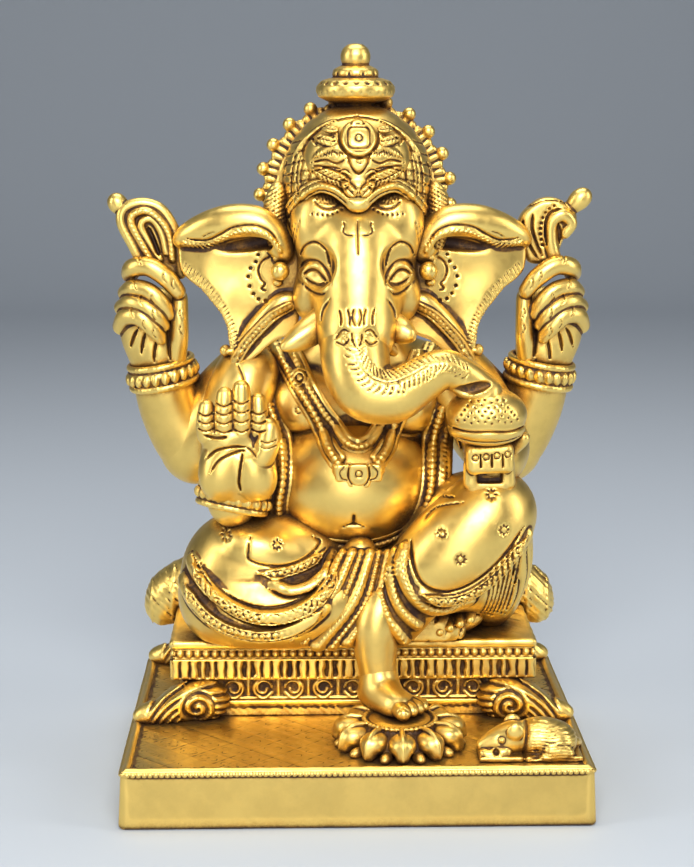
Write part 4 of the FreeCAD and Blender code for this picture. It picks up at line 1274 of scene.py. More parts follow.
def make_finial():
    clay = Clay((-13, -3, 204), (15, 25, 231), voxel=0.34)
    hub = (1, 11)
    profile = [(0, 204), (5.8, 204.6), (5.6, 209.4), (5.8, 210.4), (9.0, 211.2), (11.6, 212.5),
               (12.4, 214.2), (12.2, 215.8), (10.8, 217.4),
               (8.4, 218.2), (6.8, 218.4), (7.4, 219.3), (7.0, 220.8), (5.2, 221.8), (4.0, 222.2),
               (4.6, 223.6), (4.7, 225.4),
               (4.0, 227.2), (2.4, 228.5), (0, 228.9)]
    outline = np.array(profile + [(-r, z) for r, z in reversed(profile[1:-1])])

    def distance(x, y, z):
        r = np.hypot(x - hub[0], y - hub[1])
        turn = np.arctan2(y - hub[1], x - hub[0])
        table_z = np.linspace(203, 230, 109)
        flat = np.linspace(0, 16, 65)
        grid = inside(outline, flat[:, None], table_z[None, :])
        i = np.clip(r / 0.25, 0, 63.999)
        j = np.clip((z - 203) / 0.25, 0, 107.999)
        i0, j0 = np.floor(i).astype(int), np.floor(j).astype(int)
        fi, fj = i - i0, j - j0
        value = (grid[i0, j0] * (1 - fi) * (1 - fj) + grid[i0 + 1, j0] * fi * (1 - fj)
                 + grid[i0, j0 + 1] * (1 - fi) * fj + grid[i0 + 1, j0 + 1] * fi * fj)
        for count, level, radius, size, depth in ((20, 216.6, 11.3, 1.1, 0.7), (26, 214.0, 12.2, 0.7, 0.45),
                                                  (10, 219.6, 7.2, 1.1, 0.6)):
            part = (turn * count / (2 * math.pi))
            gap = np.sqrt(((part - np.round(part)) * 2 * math.pi / count * r) ** 2 + (z - level) ** 2
                          + (r - radius) ** 2)
            value = value + depth * bump(gap, size)
        return value

    clay.apply(np.array([-12, -2, 204.5]), np.array([14, 24, 230]), distance, 0, 0)
    return show(clay, "crown_finial", smooth=3)


def make_halo():
    clay = Clay((-34, 10, 158), (36, 25, 217), voxel=0.38)
    hub = np.array([1.2, 182.0])

    def out(turn, reach, y=17.0):
        return np.array([hub[0] + reach * math.cos(turn), y, hub[1] + reach * math.sin(turn)])

    rim = [(*out(t, 23.5), 2.6) for t in np.radians(np.arange(-40, 221, 4))]
    for a, b in zip(rim[:-1], rim[1:]):
        clay.cone(np.array(a), np.array(b), 0.5, 0)
    rim = [(*out(t, 21.2, 14.5), 1.5) for t in np.radians(np.arange(-40, 221, 4))]
    for a, b in zip(rim[:-1], rim[1:]):
        clay.cone(np.array(a), np.array(b), 0.3, 0)
    pitch = 15.5
    for k in range(-2, 15):
        middle = math.radians(180 + 2 * pitch - pitch * k)
        if not -0.75 < middle < math.pi + 0.75:
            continue
        clay.cone(np.array([*out(middle, 20.5, 15.6), 1.6]), np.array([*out(middle, 28.6), 1.5]), 0.4, 0)
        clay.ball(out(middle, 30.2), 2.2, soft=0.4)
        for way in (-1, 1):
            turn = middle + way * math.radians(pitch / 3)
            clay.cone(np.array([*out(turn, 20.5, 15.6), 1.3]), np.array([*out(turn, 28.0), 1.5]), 0.2, 0)
    return show(clay, "halo")


# ---------------------------------------------------------------- body and its ornaments


def torso_clay():
    """The bare torso, which the ornaments are laid on as well."""
    clay = Clay((-44, -22, 66), (46, 38, 151), voxel=0.48)
    clay.ball((0, 17, 114), (31, 17.5, 21))
    clay.ball((0, 18, 126), (37, 12, 11.5), soft=8)
    clay.ball((1, 13, 137), (15, 12, 12), soft=8)
    clay.ball((-14.5, 4.4, 116.5), (11.5, 7.6, 9.6), (0, 8, 0), soft=4)
    clay.ball((17, 4.4, 116.5), (11.5, 7.6, 9.6), (0, -8, 0), soft=4)
    clay.ball((0, 8.2, 91.5), (27.2, 24.2, 21.5), soft=2.2)
    return clay


def make_torso():
    clay = torso_clay()
    stamp = Stamp(clay, (-44, -22, 66), (46, 14, 151))
    stamp.line([(-22, 107.4), (-17, 108), (-11.4, 109.8)], 0.8, -0.9, 2)
    stamp.line([(13, 109.8), (17.6, 108.2), (22.6, 107.6)], 0.8, -0.9, 2)
    stamp.ring((-17.3, 116), 1.0, 0.4, -0.6)
    stamp.ring((19.6, 116.2), 1.0, 0.4, -0.6)
    stamp.line([(-0.1, 86.2), (-0.1, 84), (-0.1, 81.4)], 0.95, -1.5, 3)
    stamp.line([(-3.4, 80.8), (-0.1, 81.8), (3.2, 80.8)], 0.55, -1.0, 1.5)
    stamp.dot((-0.1, 81.9), 1.4, -1.0)
    stamp.line([(-24, 139), (-24.6, 131), (-22, 124)], 0.5, -0.6)
    back = Stamp(clay, (-44, 20, 66), (46, 40, 151))
    back.line([(0, 134), (0.6, 112), (0, 88)], 1.6, -1.2, 8)
    back.line([(-30, 112), (-14, 104), (-4, 102)], 0.8, -0.5, 6)
    back.line([(30, 112), (14, 104), (4, 102)], 0.8, -0.5, 6)
    return show(clay, "torso")


def strip(clay, bare, path, radius, lift, flat=1.0):
    """A cord laid on the front of a bare shape, at most a step away from it."""
    run = bare.drape([tuple(p) for p in curve(path, 6)[:, :2]], lift)
    if len(run) < 3:
        return run
    for _ in range(3):
        run[1:-1, 1] = 0.25 * run[:-2, 1] + 0.5 * run[1:-1, 1] + 0.25 * run[2:, 1]
    clay.rod(run, radius, 0.4, flat)
    return run


def cord_of_beads(clay, run, pitch, radius, sink=0.0):
    for x, y, z in evenly(run, pitch):
        clay.ball((x, y + sink, z), radius, soft=0.15)


def make_ornaments():
    bare = torso_clay()
    clay = Clay((-30, -26, 96), (33, 16, 142))
    inner = [(-18.5, 132), (-15.6, 126.4), (-12.7, 121), (-9.0, 115), (-5.2, 110.2), (-2.0, 107),
             (1.4, 106), (5.2, 107.2), (8.4, 110.4), (11.8, 115),
             (15.6, 121), (18.4, 126.4), (21, 132)]
    outer_right = [(-28, 139), (-23.6, 132.5), (-19.6, 126.8), (-15.7, 120.8), (-12, 114.6), (-9.3, 109),
                   (-7.6, 105), (-5, 101.6)]
    outer_left = [(29, 139), (25.4, 132.5), (21.8, 126.8), (18, 120.8), (14.4, 114.6), (12, 109),
                  (10.2, 105), (7.4, 101.6)]
    run = strip(clay, bare, inner, 2.0, 0.4)
    cord_of_beads(clay, run + np.array([0, -1.9, 0]), 1.7, 0.92)
    for x in (-1.9, 1.9):
        shifted = run.copy()
        way = np.gradient(run[:, [0, 2]], axis=0)
        way /= np.linalg.norm(way, axis=1, keepdims=True) + 1e-9
        shifted[:, 0] += way[:, 1] * x
        shifted[:, 2] -= way[:, 0] * x
        for a, b in zip(shifted[:-1], shifted[1:]):
            clay.cone(np.array([a[0], a[1] - 0.7, a[2], 1.0]), np.array([b[0], b[1] - 0.7, b[2], 1.0]),
                      0.2, 0)
    for path in (outer_right, outer_left):
        run = strip(clay, bare, path, 1.9, 0.3)
        cord_of_beads(clay, run + np.array([0, -1.8, 0]), 2.0, 1.12)
        for x in (-2.1, 2.1):
            shifted = run.copy()
            way = np.gradient(run[:, [0, 2]], axis=0)
            way /= np.linalg.norm(way, axis=1, keepdims=True) + 1e-9
            shifted[:, 0] += way[:, 1] * x
            shifted[:, 2] -= way[:, 0] * x
            clay.rod(shifted, 1.0, 0.2)
    for x in (3.4, 5.4):
        strip(clay, bare, [(-27.4 + x, 137), (-24.4 + x, 133.2), (-20.4 + x, 127.6)], 0.8, 0.2)
    spot = bare.front(-16.8, 126)
    clay.ball((-16.8, spot - 0.9, 126), (3.0, 1.7, 3.0), (-20, 0, 0), soft=0.3)
    stamp = Stamp(clay, (-30, -28, 96), (33, 16, 142))
    stamp.ring((-16.8, 126), 1.1, 0.4, -0.7)
    stamp.ring((-16.8, 126), 2.3, 0.35, -0.4)
    show(clay, "necklace")

    clay = Clay((-9, -22, 90), (12, -4, 106), voxel=0.3)
    for x, z, wide, tall in ((1.35, 97.8, 3.6, 4.2), (-3.2, 98.4, 2.8, 3.0), (5.9, 98.4, 2.8, 3.0),
                             (-5.2, 99.6, 1.7, 1.9),
                             (7.9, 99.6, 1.7, 1.9)):
        y = bare.front(x, z)
        clay.block((x, y - 0.3, z), (wide, 1.3, tall), (8, 0, 0), round_by=1.2, soft=0.8)
    stamp = Stamp(clay, (-9, -24, 90), (12, -4, 106))
    stamp.line([(-1.5, 101.4), (-1.9, 97.6), (-0.6, 94.9), (1.35, 94.3), (3.4, 94.9), (4.6, 97.6),
                (4.2, 101.4)], 0.42, -0.7)
    stamp.line([(-1.5, 101.4), (1.35, 101.8), (4.2, 101.4)], 0.35, -0.5)
    stamp.ring((1.35, 98.4), 1.0, 0.36, -0.55)
    for side in (RIGHT, LEFT):
        stamp.line([(1.35 + side * 4.4, 100.6), (1.35 + side * 5.8, 98.8), (1.35 + side * 5.2, 96.8),
                    (1.35 + side * 3.6, 96.2)], 0.36, -0.5)
    show(clay, "pendant")

    for name, side, path in (
            ("right_shawl", RIGHT,
             [(-34.5, 134), (-31, 127.5), (-27, 119.6), (-23.6, 111), (-21.8, 103), (-21.6, 95),
              (-22.8, 87), (-22.4, 79)]),
            ("left_shawl", LEFT,
             [(34, 134), (31, 126), (27.8, 117), (25.4, 108), (24.2, 99), (23.4, 91), (21.4, 84),
              (18.6, 77.4)])):
        low, high = sorted((side * 14, side * 42))
        clay = Clay((low, -22, 72), (high, 22, 140))
        points = np.array(path)
        stations = []
        for x, z in curve(points, 5)[:, :2]:
            y = bare.front(x, z)
            nearer = bare.front(x - side * 3.5, z)
            y = y if y is not None else 4.0
            stations.append((x + side * 0.6, min(y, (nearer if nearer is not None else y) + 4) - 0.6, z))
        stations = np.array(stations)
        for _ in range(6):
            stations[1:-1, 1] = 0.25 * stations[:-2, 1] + 0.5 * stations[1:-1, 1] + 0.25 * stations[2:, 1]
        for shift, lift, radius in ((0, 0.4, 2.5), (-2.7, 1.0, 1.3), (2.7, 0.6, 1.5), (4.9, -1.0, 1.9)):
            run = stations + np.array([side * shift, -lift, 0])
            clay.rod(run, radius, 0.3)
        cord_of_beads(clay, stations + np.array([side * 0.1, -2.9, 0]), 2.15, 1.3)
        cord_of_beads(clay, stations + np.array([side * 3.9, -1.2, 0]), 1.8, 1.05)
        dress(clay.mesh(f"{name}_piece"), "figure_brass", BRASS, name)

    clay = Clay((-31, -24, 62), (31, 12, 92))
    lower = [(-26.6, 84.6), (-21.6, 79), (-14, 74.6), (-6, 72.6), (2, 72.2), (9, 73.2), (15.4, 75.8),
             (21, 80.4), (25.4, 85.6)]
    for drop, lift, radius in ((0.4, 0.7, 1.7), (-2.2, 0.4, 1.5), (2.8, -0.8, 1.0)):
        strip(clay, bare, [(x, z + drop) for x, z in lower], radius, lift)
    run = strip(clay, bare, [(x, z - 4.2) for x, z in lower[1:-1]], 1.8, 0.4)
    stamp = Stamp(clay, (-31, -26, 62), (31, 6, 92))
    stamp.rope([(x, z + 0.2) for x, z in lower], 1.4, 0.9, 1.9, 1.0)
    stamp.rope([(x, z - 4.0) for x, z in lower[1:-1]], 1.5, 0.9, 2.4, -0.9)
    show(clay, "waist_sash")


def make_hips():
    clay = Clay((-46, -12, 40), (46, 44, 80), voxel=0.5)
    clay.ball((0, 16, 57), (44, 25, 21.5))
    clay.limb([(-40, 0, 47, 6), (-20, -8, 46, 6), (6, -9, 46, 6), (30, -6, 46, 6)], soft=2)
    clay.limb([(-36, 30, 44, 4.5), (0, 39, 44, 4.5), (36, 30, 44, 4.5)], soft=2)
    clay.floor(SEAT_TOP + 0.05)
    stamp = Stamp(clay, (-46, 20, 40), (46, 46, 80))
    for k in range(5):
        stamp.line([(-34 + 5 * k, 74 - 5 * k), (0, 62 - 5 * k), (34 - 5 * k, 74 - 5 * k)], 0.9, -0.9, 6)
    front = Stamp(clay, (-46, -14, 40), (46, 8, 80))
    for k in range(16):
        x = -36 + 4.8 * k
        front.line([(x + 2, 60), (x, 52), (x - 3, 43.5)], 0.8, -0.8, 3)
    return show(clay, "hips")


# ---------------------------------------------------------------- legs, feet and the robe


def make_folded_leg():
    clay = Clay((-60, -26, 40), (4, 22, 88), voxel=0.42)
    clay.ball((-36.6, 0, 62.2), (18.4, 17.6, 20.8), (0, 6, 0))
    clay.limb([(-8, 6, 67, 10), (-20, 1, 68, 13), (-32, -1, 66, 15)], soft=5)
    clay.limb([(-42, -3.6, 55, 12.6), (-30, -9, 53.4, 11), (-16, -11.4, 53.6, 9.4), (-4, -12, 57.5, 7.4)],
              soft=5)
    clay.ball((-29.5, -10.4, 73.6), (12, 7.4, 6.6), (0, 14, 0), soft=2.5)
    big = [(-50.6, 69.4), (-45.9, 63.4), (-38.6, 58.0), (-30, 55.0), (-21.5, 55.4), (-14, 58.6),
           (-8.6, 63.4), (-5.2, 69.5)]
    hem = [(-53.2, 63.2), (-49.6, 57.6), (-42.6, 52.2), (-33.4, 49.4), (-24.4, 49.6), (-16.4, 52.6),
           (-10, 57.6)]
    upper = [(-25.6, 64.2), (-20, 62.0), (-14, 63.2), (-9.4, 66.6), (-6.4, 71)]
    small = [(-30.4, 67.6), (-24, 67.2), (-17.4, 68.4), (-12, 70.4), (-8.2, 73.2)]
    for path, radius, lift in ((big, 2.3, -0.9), (hem, 2.2, -0.6), (upper, 1.5, -0.7)):
        run = clay.drape([tuple(p) for p in curve(path, 6)[:, :2]], lift)
        clay.rod(run, radius, 1.2)
    stamp = Stamp(clay, (-60, -28, 40), (4, 8, 88))
    stamp.band(big, 2.3, 1.0, 2.4, kind="cross", depth=0.9, taper=4)
    stamp.band(small, 1.8, 0.8, 2.2, kind="cross", depth=0.9, taper=5)
    stamp.band(hem, 1.9, 0.9, 2.0, kind="beads", depth=1.1, taper=4)
    stamp.line([(x - 0.4, z + 2.7) for x, z in big], 0.65, -1.0, 6)
    stamp.line([(x, z - 2.7) for x, z in big[1:-1]], 0.6, -0.9, 6)
    stamp.line([(x, z - 2.4) for x, z in hem], 0.6, -0.7, 6)
    stamp.line([(-27.2, 63), (-21, 60.6), (-14, 61.6), (-8.6, 65), (-5.2, 70)], 0.6, -1.2, 3)
    stamp.line([(-32.2, 78.6), (-32.8, 74.6), (-32.4, 71.6), (-27, 69.8), (-20, 69.6), (-14, 71.8),
                (-10.6, 75.2), (-13.4, 77.2)], 0.5, -1.0, 3)
    for x, z, size in ((-39.8, 78.2, 2.0), (-24, 76, 1.9), (-47.8, 68, 1.8)):
        stamp.daisy((x, z), size)
    stamp.line([(-42, 50.4), (-30, 47.2), (-18, 48.4)], 0.5, -0.6, 4)
    clay.floor(SEAT_TOP + 0.05)
    show(clay, "right_leg")

    clay = Clay((14, -18, 40), (45, 8, 58))
    clay.ball((29, -2, 47.2), (13, 6.6, 5.0), (0, -8, 0))
    for x, z, reach in ((24.6, 46.2, -10.4), (27.8, 47.8, -11.4), (30.9, 49.2, -11.8), (34.1, 50.6, -11.8),
                        (37.4, 51.6, -11)):
        clay.limb([(x, -4, z - 0.6, 2.0), (x - 0.3, -8, z - 0.2, 1.75), (x - 0.7, reach, z - 1.6, 1.5)],
                  soft=0.25)
    clay.floor(SEAT_TOP + 0.05)
    show(clay, "right_foot")


def make_pleats():
    clay = Clay((-27, -27, 40), (16, 4, 80))
    tops = [(-3.6, 73.2), (-0.6, 73), (2.2, 72.8), (5.0, 72.6), (7.8, 72.6), (10.6, 72.6)]
    feet = [(-23.4, 49), (-19.6, 47.4), (-15.6, 46), (-11.4, 45), (-7.0, 44.6), (-2.2, 46)]
    for k, (top, foot) in enumerate(zip(tops, feet)):
        middle = (0.45 * top[0] + 0.55 * foot[0] + 3.6, 0.5 * (top[1] + foot[1]))
        radius = (1.5, 1.9, 1.5, 2.2, 1.6, 1.9)[k]
        clay.limb([(top[0], -14.4, top[1], radius * 0.8),
                   (middle[0], -19.4 + 0.1 * k, middle[1], radius * 1.15),
                   (foot[0], -19.6, foot[1], radius * 1.25)], soft=0.25)
    clay.limb([(2, -9, 72, 5), (-4, -12.6, 60, 7.6), (-12, -13.4, 50, 8)], soft=0.3)
    stamp = Stamp(clay, (-27, -28, 40), (16, -6, 80))
    for k, (top, foot) in enumerate(zip(tops, feet)):
        middle = (0.45 * top[0] + 0.55 * foot[0] + 3.6, 0.5 * (top[1] + foot[1]))
        path = [top, middle, foot]
        if k % 2 == 0:
            for x, z in evenly(curve(path, 8)[:, :2], 1.7):
                stamp.dot((x, z), 1.0, 0.8)
        else:
            stamp.rope(path, 1.7, 0.6, 1.45, 1.1 if k == 3 else -1.0)
    clay.floor(SEAT_TOP + 0.05)
    show(clay, "robe_pleats")


def make_raised_leg():
    low, high = (6, -36, 40), (62, 30, 104)
    clay = Clay(low, high, voxel=0.42)
    clay.limb([(14, 12, 66, 12), (28, 2, 78, 13), (42, -8, 86, 12)], soft=2)
    clay.limb([(16, 14, 58, 14), (34, 8, 62, 13), (46, 2, 70, 11)], soft=3)
    clay.limb([(46, 0, 72, 9), (46, 6, 56, 8), (44, 10, 48, 6)], soft=3)
    clay.floor(SEAT_TOP + 0.05)
    show(clay, "left_thigh")

    clay = Clay(low, high, voxel=0.42)
    clay.limb([(43.4, -12.5, 85.6, 13.2), (36.6, -14.6, 78.4, 13.8), (28, -15.4, 71.6, 13),
               (19.6, -15.6, 65, 9.6)], soft=3)
    clay.limb([(24, -14, 68, 10), (16.6, -14.4, 58, 8.6), (12, -14, 50, 7)], soft=3)
    clay.limb([(46, -6, 82, 9), (47.4, -2, 66, 8.4), (44, 2, 54, 8)], soft=3)
    clay.limb([(30, -8, 62, 10), (40, -5, 60, 9)], soft=3)
    oval = [(17.2, 79), (17.8, 72), (20.6, 66.4), (26.4, 63.8), (33, 65), (39.6, 69.2), (46, 75.6),
            (51.8, 83.4)]
    rolls = [([(20.2, 63.2), (27, 60.6), (34.4, 61.8), (41.4, 66.4), (47.4, 72.6), (53, 80.4)], 2.0, -0.7),
             ([(15.2, 76), (14.8, 69), (17.6, 62.6), (22.6, 57.8), (29.4, 56.2), (36, 58)], 2.0, -0.6),
             ([(12.6, 74), (11.4, 66), (14, 58), (19.4, 51.8)], 1.9, -0.6),
             ([(9.6, 70), (8.2, 62.4), (10.8, 54), (15.6, 46)], 1.8, -0.4)]
    for path, radius, lift in rolls:
        run = clay.drape([tuple(p) for p in curve(path, 6)[:, :2]], lift)
        for a, b in zip(run[:-1], run[1:]):
            if abs(b[1] - a[1]) < 4:
                clay.cone(np.array([*a, radius]), np.array([*b, radius]), 0.8, 0)
    stamp = Stamp(clay, low, (62, 6, 104))
    stamp.line(oval, 0.7, -1.3, 4)
    stamp.band(rolls[0][0], 2.0, 0.9, 2.2, kind="cross", depth=0.9, taper=5)
    stamp.line([(x + 0.6, z - 2.6) for x, z in rolls[0][0]], 0.6, -0.9, 5)
    stamp.rope(rolls[1][0], 1.8, 0.9, 1.8, 1.0)
    stamp.rope(rolls[2][0], 1.7, 0.9, 1.7, -0.8)
    for x, z in evenly(curve(rolls[3][0], 8)[:, :2], 1.9):
        stamp.dot((x, z), 1.1, 0.8)
    stamp.line([(22.4, 87), (26.8, 90.4), (31.4, 92)], 0.45, -0.7, 2)
    stamp.line([(20.4, 83.6), (26, 88.6), (33.6, 91)], 0.4, -0.5, 3)
    for x, z, size in ((45.2, 83.1, 2.1), (31.9, 74.6, 2.1), (26.3, 82, 1.8), (41.6, 93.4, 2.0)):
        stamp.daisy((x, z), size)
    for k in range(7):
        stamp.line([(41 + 1.7 * k, 70.6 + 1.6 * k), (42.4 + 1.6 * k, 60 + 1.6 * k), (40 + 1.4 * k, 50)],
                   0.6, -0.7, 4)
    clay.floor(SEAT_TOP + 0.05)
    side_marks = Stamp(clay, (40, -24, 40), (63, 8, 104), across="x")
    for k in range(5):
        side_marks.line([(-14 + 3 * k, 74), (-8 + 2.4 * k, 60), (-2 + 1.6 * k, 47)], 0.7, -0.8, 4)
    show(clay, "left_shin")

    clay = Clay((-4, -30, 30), (19, -8, 62))
    clay.limb([(8.6, -16, 57, 6.6), (6.8, -17.8, 51, 7.1), (6.6, -18.4, 43, 6.3), (7.2, -19, 36, 5.3),
               (7.4, -19.4, 31, 5.1)], soft=1)
    show(clay, "left_ankle")

    clay = Clay((-2, -42, 24), (26, -10, 40), voxel=0.32)
    clay.ball((6.6, -19.4, 29.4), (5.8, 6.2, 5.4))
    clay.limb([(7.4, -19.6, 35, 5.0), (8.4, -22, 30, 5.2), (11, -27, 28.6, 4.4), (13.4, -31, 28.2, 3.4)],
              soft=2)
    clay.ball((14.6, -28, 28.2), (5.4, 3.6, 3.0), (0, 0, 32), soft=2)
    for stations in ([(12.4, -31, 28.2, 2.5), (13.6, -34.6, 28.2, 2.4), (14.4, -37, 28, 2.2)],
                     [(15.2, -30.4, 28.6, 1.9), (16.8, -33.4, 28.6, 1.8), (17.4, -34.8, 28, 1.6)],
                     [(17, -29, 28.6, 1.8), (18.9, -31.6, 28.6, 1.7), (19.5, -32.9, 28, 1.5)],
                     [(18.2, -27.4, 28.6, 1.7), (20.4, -29.6, 28.6, 1.6), (21, -30.7, 28, 1.4)],
                     [(18.8, -25.6, 28.4, 1.5), (21.2, -27.2, 28.2, 1.4)]):
        clay.limb(stations, soft=0.3)
    stamp = Stamp(clay, (-2, -44, 24), (26, -20, 40))
    stamp.line([(12.8, 29.2), (14.2, 30), (15.8, 29.2)], 0.3, -0.35)
    clay.floor(25.85)
    show(clay, "left_foot")


# ---------------------------------------------------------------- arms, hands and what they hold


def make_rear_arm(side):
    name = "left" if side == LEFT else "right"
    low, high = sorted((side * 22, side * 80))
    clay = Clay((low, 2, 82), (high, 36, 136))
    clay.limb(mirrored([(32, 18, 125, 10.6), (40, 20, 114, 12.4), (46.6, 21, 104.4, 12.8),
                        (50.6, 21, 99.6, 11.4)], side), soft=2)
    dress(clay.mesh(f"rear_{name}_upper_arm_piece"), "figure_brass", BRASS, f"rear_{name}_upper_arm")
    clay = Clay((low, 2, 82), (high, 36, 136))
    clay.limb(mirrored([(49.6, 21.4, 100.4, 11.9), (54.2, 20.8, 106.6, 10.8), (58.2, 19, 114.4, 9.6),
                        (60.4, 17.2, 122.6, 8.8)], side), soft=2)
    dress(clay.mesh(f"rear_{name}_forearm_piece"), "figure_brass", BRASS, f"rear_{name}_forearm")

    low, high = sorted((side * 44, side * 78))
    clay = Clay((low, 0, 114), (high, 34, 136), voxel=0.32)
    tilt = rotation((4, side * 10, 0))
    centre = np.array([side * 60.8, 16.4, 125.4])
    rows = []
    for turn in np.linspace(0, 2 * math.pi, 41):
        rows.append((math.cos(turn), math.sin(turn)))
    for drop, radius, reach in ((0, 3.2, 8.2), (3.3, 1.1, 10), (-3.3, 1.2, 10.4)):
        ring = [centre + tilt @ np.array([reach * c, reach * s, drop]) for c, s in rows]
        clay.rod(ring, radius, 0.2)
    for k in range(22):
        turn = 2 * math.pi * k / 22
        spot = centre + tilt @ np.array([10.7 * math.cos(turn), 10.7 * math.sin(turn), 0])
        clay.ball(spot, (1.35, 1.35, 2.2), (0, side * 14, math.degrees(turn)), soft=0.1)
    dress(clay.mesh(f"rear_{name}_bangle_piece"), "figure_brass", BRASS, f"rear_{name}_bangle")

    low, high = sorted((side * 49, side * 79))
    clay = Clay((low, -4, 122), (high, 26, 164), voxel=0.34)
    clay.ball((side * 63, 15, 138), (9.4, 7.4, 15), (0, -side * 6, 0))
    clay.ball((side * 67.6, 14.6, 142), (6.6, 7.2, 11), (0, 0, 0), soft=3)
    clay.limb(mirrored([(61, 16, 132, 8.2), (60.6, 17, 125, 7.8)], side), soft=3)
    rolls = [([(70.4, 14, 157.2, 2.8), (68.8, 9, 159.6, 3.0), (63.8, 6.6, 160.2, 3.0),
               (58.2, 6, 156.6, 2.9), (54.8, 6.4, 152.4, 2.5)], 0.3),
             ([(71.8, 13.6, 151.2, 2.6), (68.8, 8.2, 153.4, 2.7), (64, 6, 152.6, 2.7),
               (60.2, 5.4, 149.4, 2.5), (57.8, 6.4, 145.2, 2.1)], 0.25),
             ([(73, 13, 146.6, 2.6), (70, 8, 148.8, 2.5), (65.6, 5.4, 148, 2.5), (61.6, 4.8, 145, 2.4),
               (59.4, 6, 141.6, 2.0)], 0.25),
             ([(73.4, 13, 140.6, 2.8), (71.6, 8.4, 144.2, 2.7), (67, 5.2, 144.6, 2.7),
               (62.8, 4.6, 141, 2.5), (60.4, 5.8, 137.6, 2.1)], 0.25),
             ([(54.4, 8.4, 150.2, 2.5), (54.4, 7.6, 144, 2.6), (54.8, 8.4, 137.6, 2.9),
               (56.2, 11, 130.4, 3.4)], 0.4)]
    for stations, soft in rolls:
        clay.limb(mirrored(stations, side), soft=soft)
    stamp = Stamp(clay, (low, -6, 122), (high, 14, 164))
    for path in ([(66.8, 132.6), (66.2, 136), (65.2, 139.6)], [(62.8, 129.6), (62.6, 133), (61.8, 137)],
                 [(57.6, 130.4), (58, 135), (58.2, 140)], [(70.4, 134), (69, 138), (67.4, 141)]):
        stamp.line(mirrored(path, side), 0.7, -1.2, 2)
    for x, z in ((66.6, 162.4), (59, 157), (56.4, 154.8), (68.4, 154.6), (63, 150.4), (66.4, 149.8),
                 (62.4, 145.4), (69.4, 146),
                 (65.6, 142.4), (62.4, 139.6), (54.2, 145.4), (54.2, 140.4)):
        stamp.line(mirrored([(x - 0.7, z - 1.4), (x + 0.2, z), (x - 0.2, z + 1.4)], side), 0.3, -0.45)
    dress(clay.mesh(f"rear_{name}_fist_piece", smooth=1), "figure_brass", BRASS, f"rear_{name}_fist")


def make_noose():
    clay = Clay((-80, 2, 154), (-50, 18, 186), voxel=0.32)
    outer = [(-65.4, 159.4), (-68.6, 166), (-72.2, 173.6), (-71.2, 178.2), (-65.6, 179.8), (-59.7, 177.7),
             (-55.6, 170.8), (-54.4, 163.4), (-54, 157.6)]
    middle = [(-62.8, 161.4), (-66, 167.4), (-69, 173.2), (-68.4, 176.4), (-64.3, 177.5), (-60.1, 174.6),
              (-57.1, 169.4), (-56.4, 162.4)]
    inner = [(-60.4, 162.4), (-63.4, 167.4), (-66.0, 172), (-65.4, 174.5), (-62.4, 174.7), (-59.7, 170.4),
             (-58.4, 164.4)]
    plate(clay, np.array(outer), 11.0, 2.3, 1.0, soft=0.5)
    for path, radius, y in ((outer, 1.7, 9.8), (middle, 1.25, 8.4), (inner, 1.1, 8.4)):
        clay.limb([(x, y, z, radius) for x, z in path], soft=0.2)
    stamp = Stamp(clay, (-80, 0, 154), (-50, 12, 186))
    stamp.rope(middle, 1.2, 0.5, 1.5, 1.0)
    stamp.line([(-64.2, 172.6), (-62.4, 168.4), (-60.6, 163.4)], 0.9, -1.6, 1)
    clay.limb([(-71.4, 11.4, 177.4, 1.9), (-73.2, 11.4, 179.2, 2.9), (-74, 11.4, 180.2, 2.7)], soft=0.4)
    show(clay, "noose", smooth=1)


def make_goad():
    clay = Clay((48, 2, 158), (78, 20, 188), voxel=0.32)
    outline = np.array([(52.0, 173), (53.9, 176.8), (58.8, 180.8), (64, 181.2), (67.6, 179.3), (70.6, 176),
                        (70.2, 172.6), (67.2, 169),
                        (65.4, 164.6), (64, 161), (56.6, 160.6), (54.2, 163.6), (52.4, 168.4)])
    plate(clay, outline, 12.0, 3.6, 2.0, soft=0.5)
    clay.limb([(64, 9.6, 161.6, 2.2), (62.4, 8.8, 168, 2.0), (62.6, 8.4, 173.8, 1.9), (66, 8.4, 176, 2.0),
               (68.8, 9, 173.4, 1.9), (67, 9, 170, 1.6)], soft=0.4)
    stamp = Stamp(clay, (48, 0, 158), (78, 14, 188))
    stamp.line([(53.6, 175), (53.8, 170.4), (56.4, 165.4), (58.6, 162)], 0.6, -1.3, 2)
    stamp.line([(56.8, 176.8), (56.5, 171.8), (58, 167.2), (60, 163)], 0.6, -1.3, 2)
    stamp.line([(54.6, 177.8), (60, 180.2), (65.6, 180), (68, 178)], 0.4, -0.6, 2)
    stamp.line([(61.1, 166.4), (60.7, 172.5), (62, 176.6), (65.8, 178)], 0.55, -1.1, 2)
    stamp.dots([(63.4, 178.8), (61.2, 177.2), (59.6, 174.2), (59.1, 170.6), (59.8, 166.6)], 1.75, 0.8, -1.0)
    stamp.line([(64.6, 173.4), (65.2, 170.4), (65.2, 167)], 0.7, -1.2, 1)
    clay.limb([(69.6, 12, 178.4, 2.4), (71.8, 12, 180.6, 3.1), (73, 12, 181.6, 2.7)], soft=0.4)
    show(clay, "goad", smooth=1)


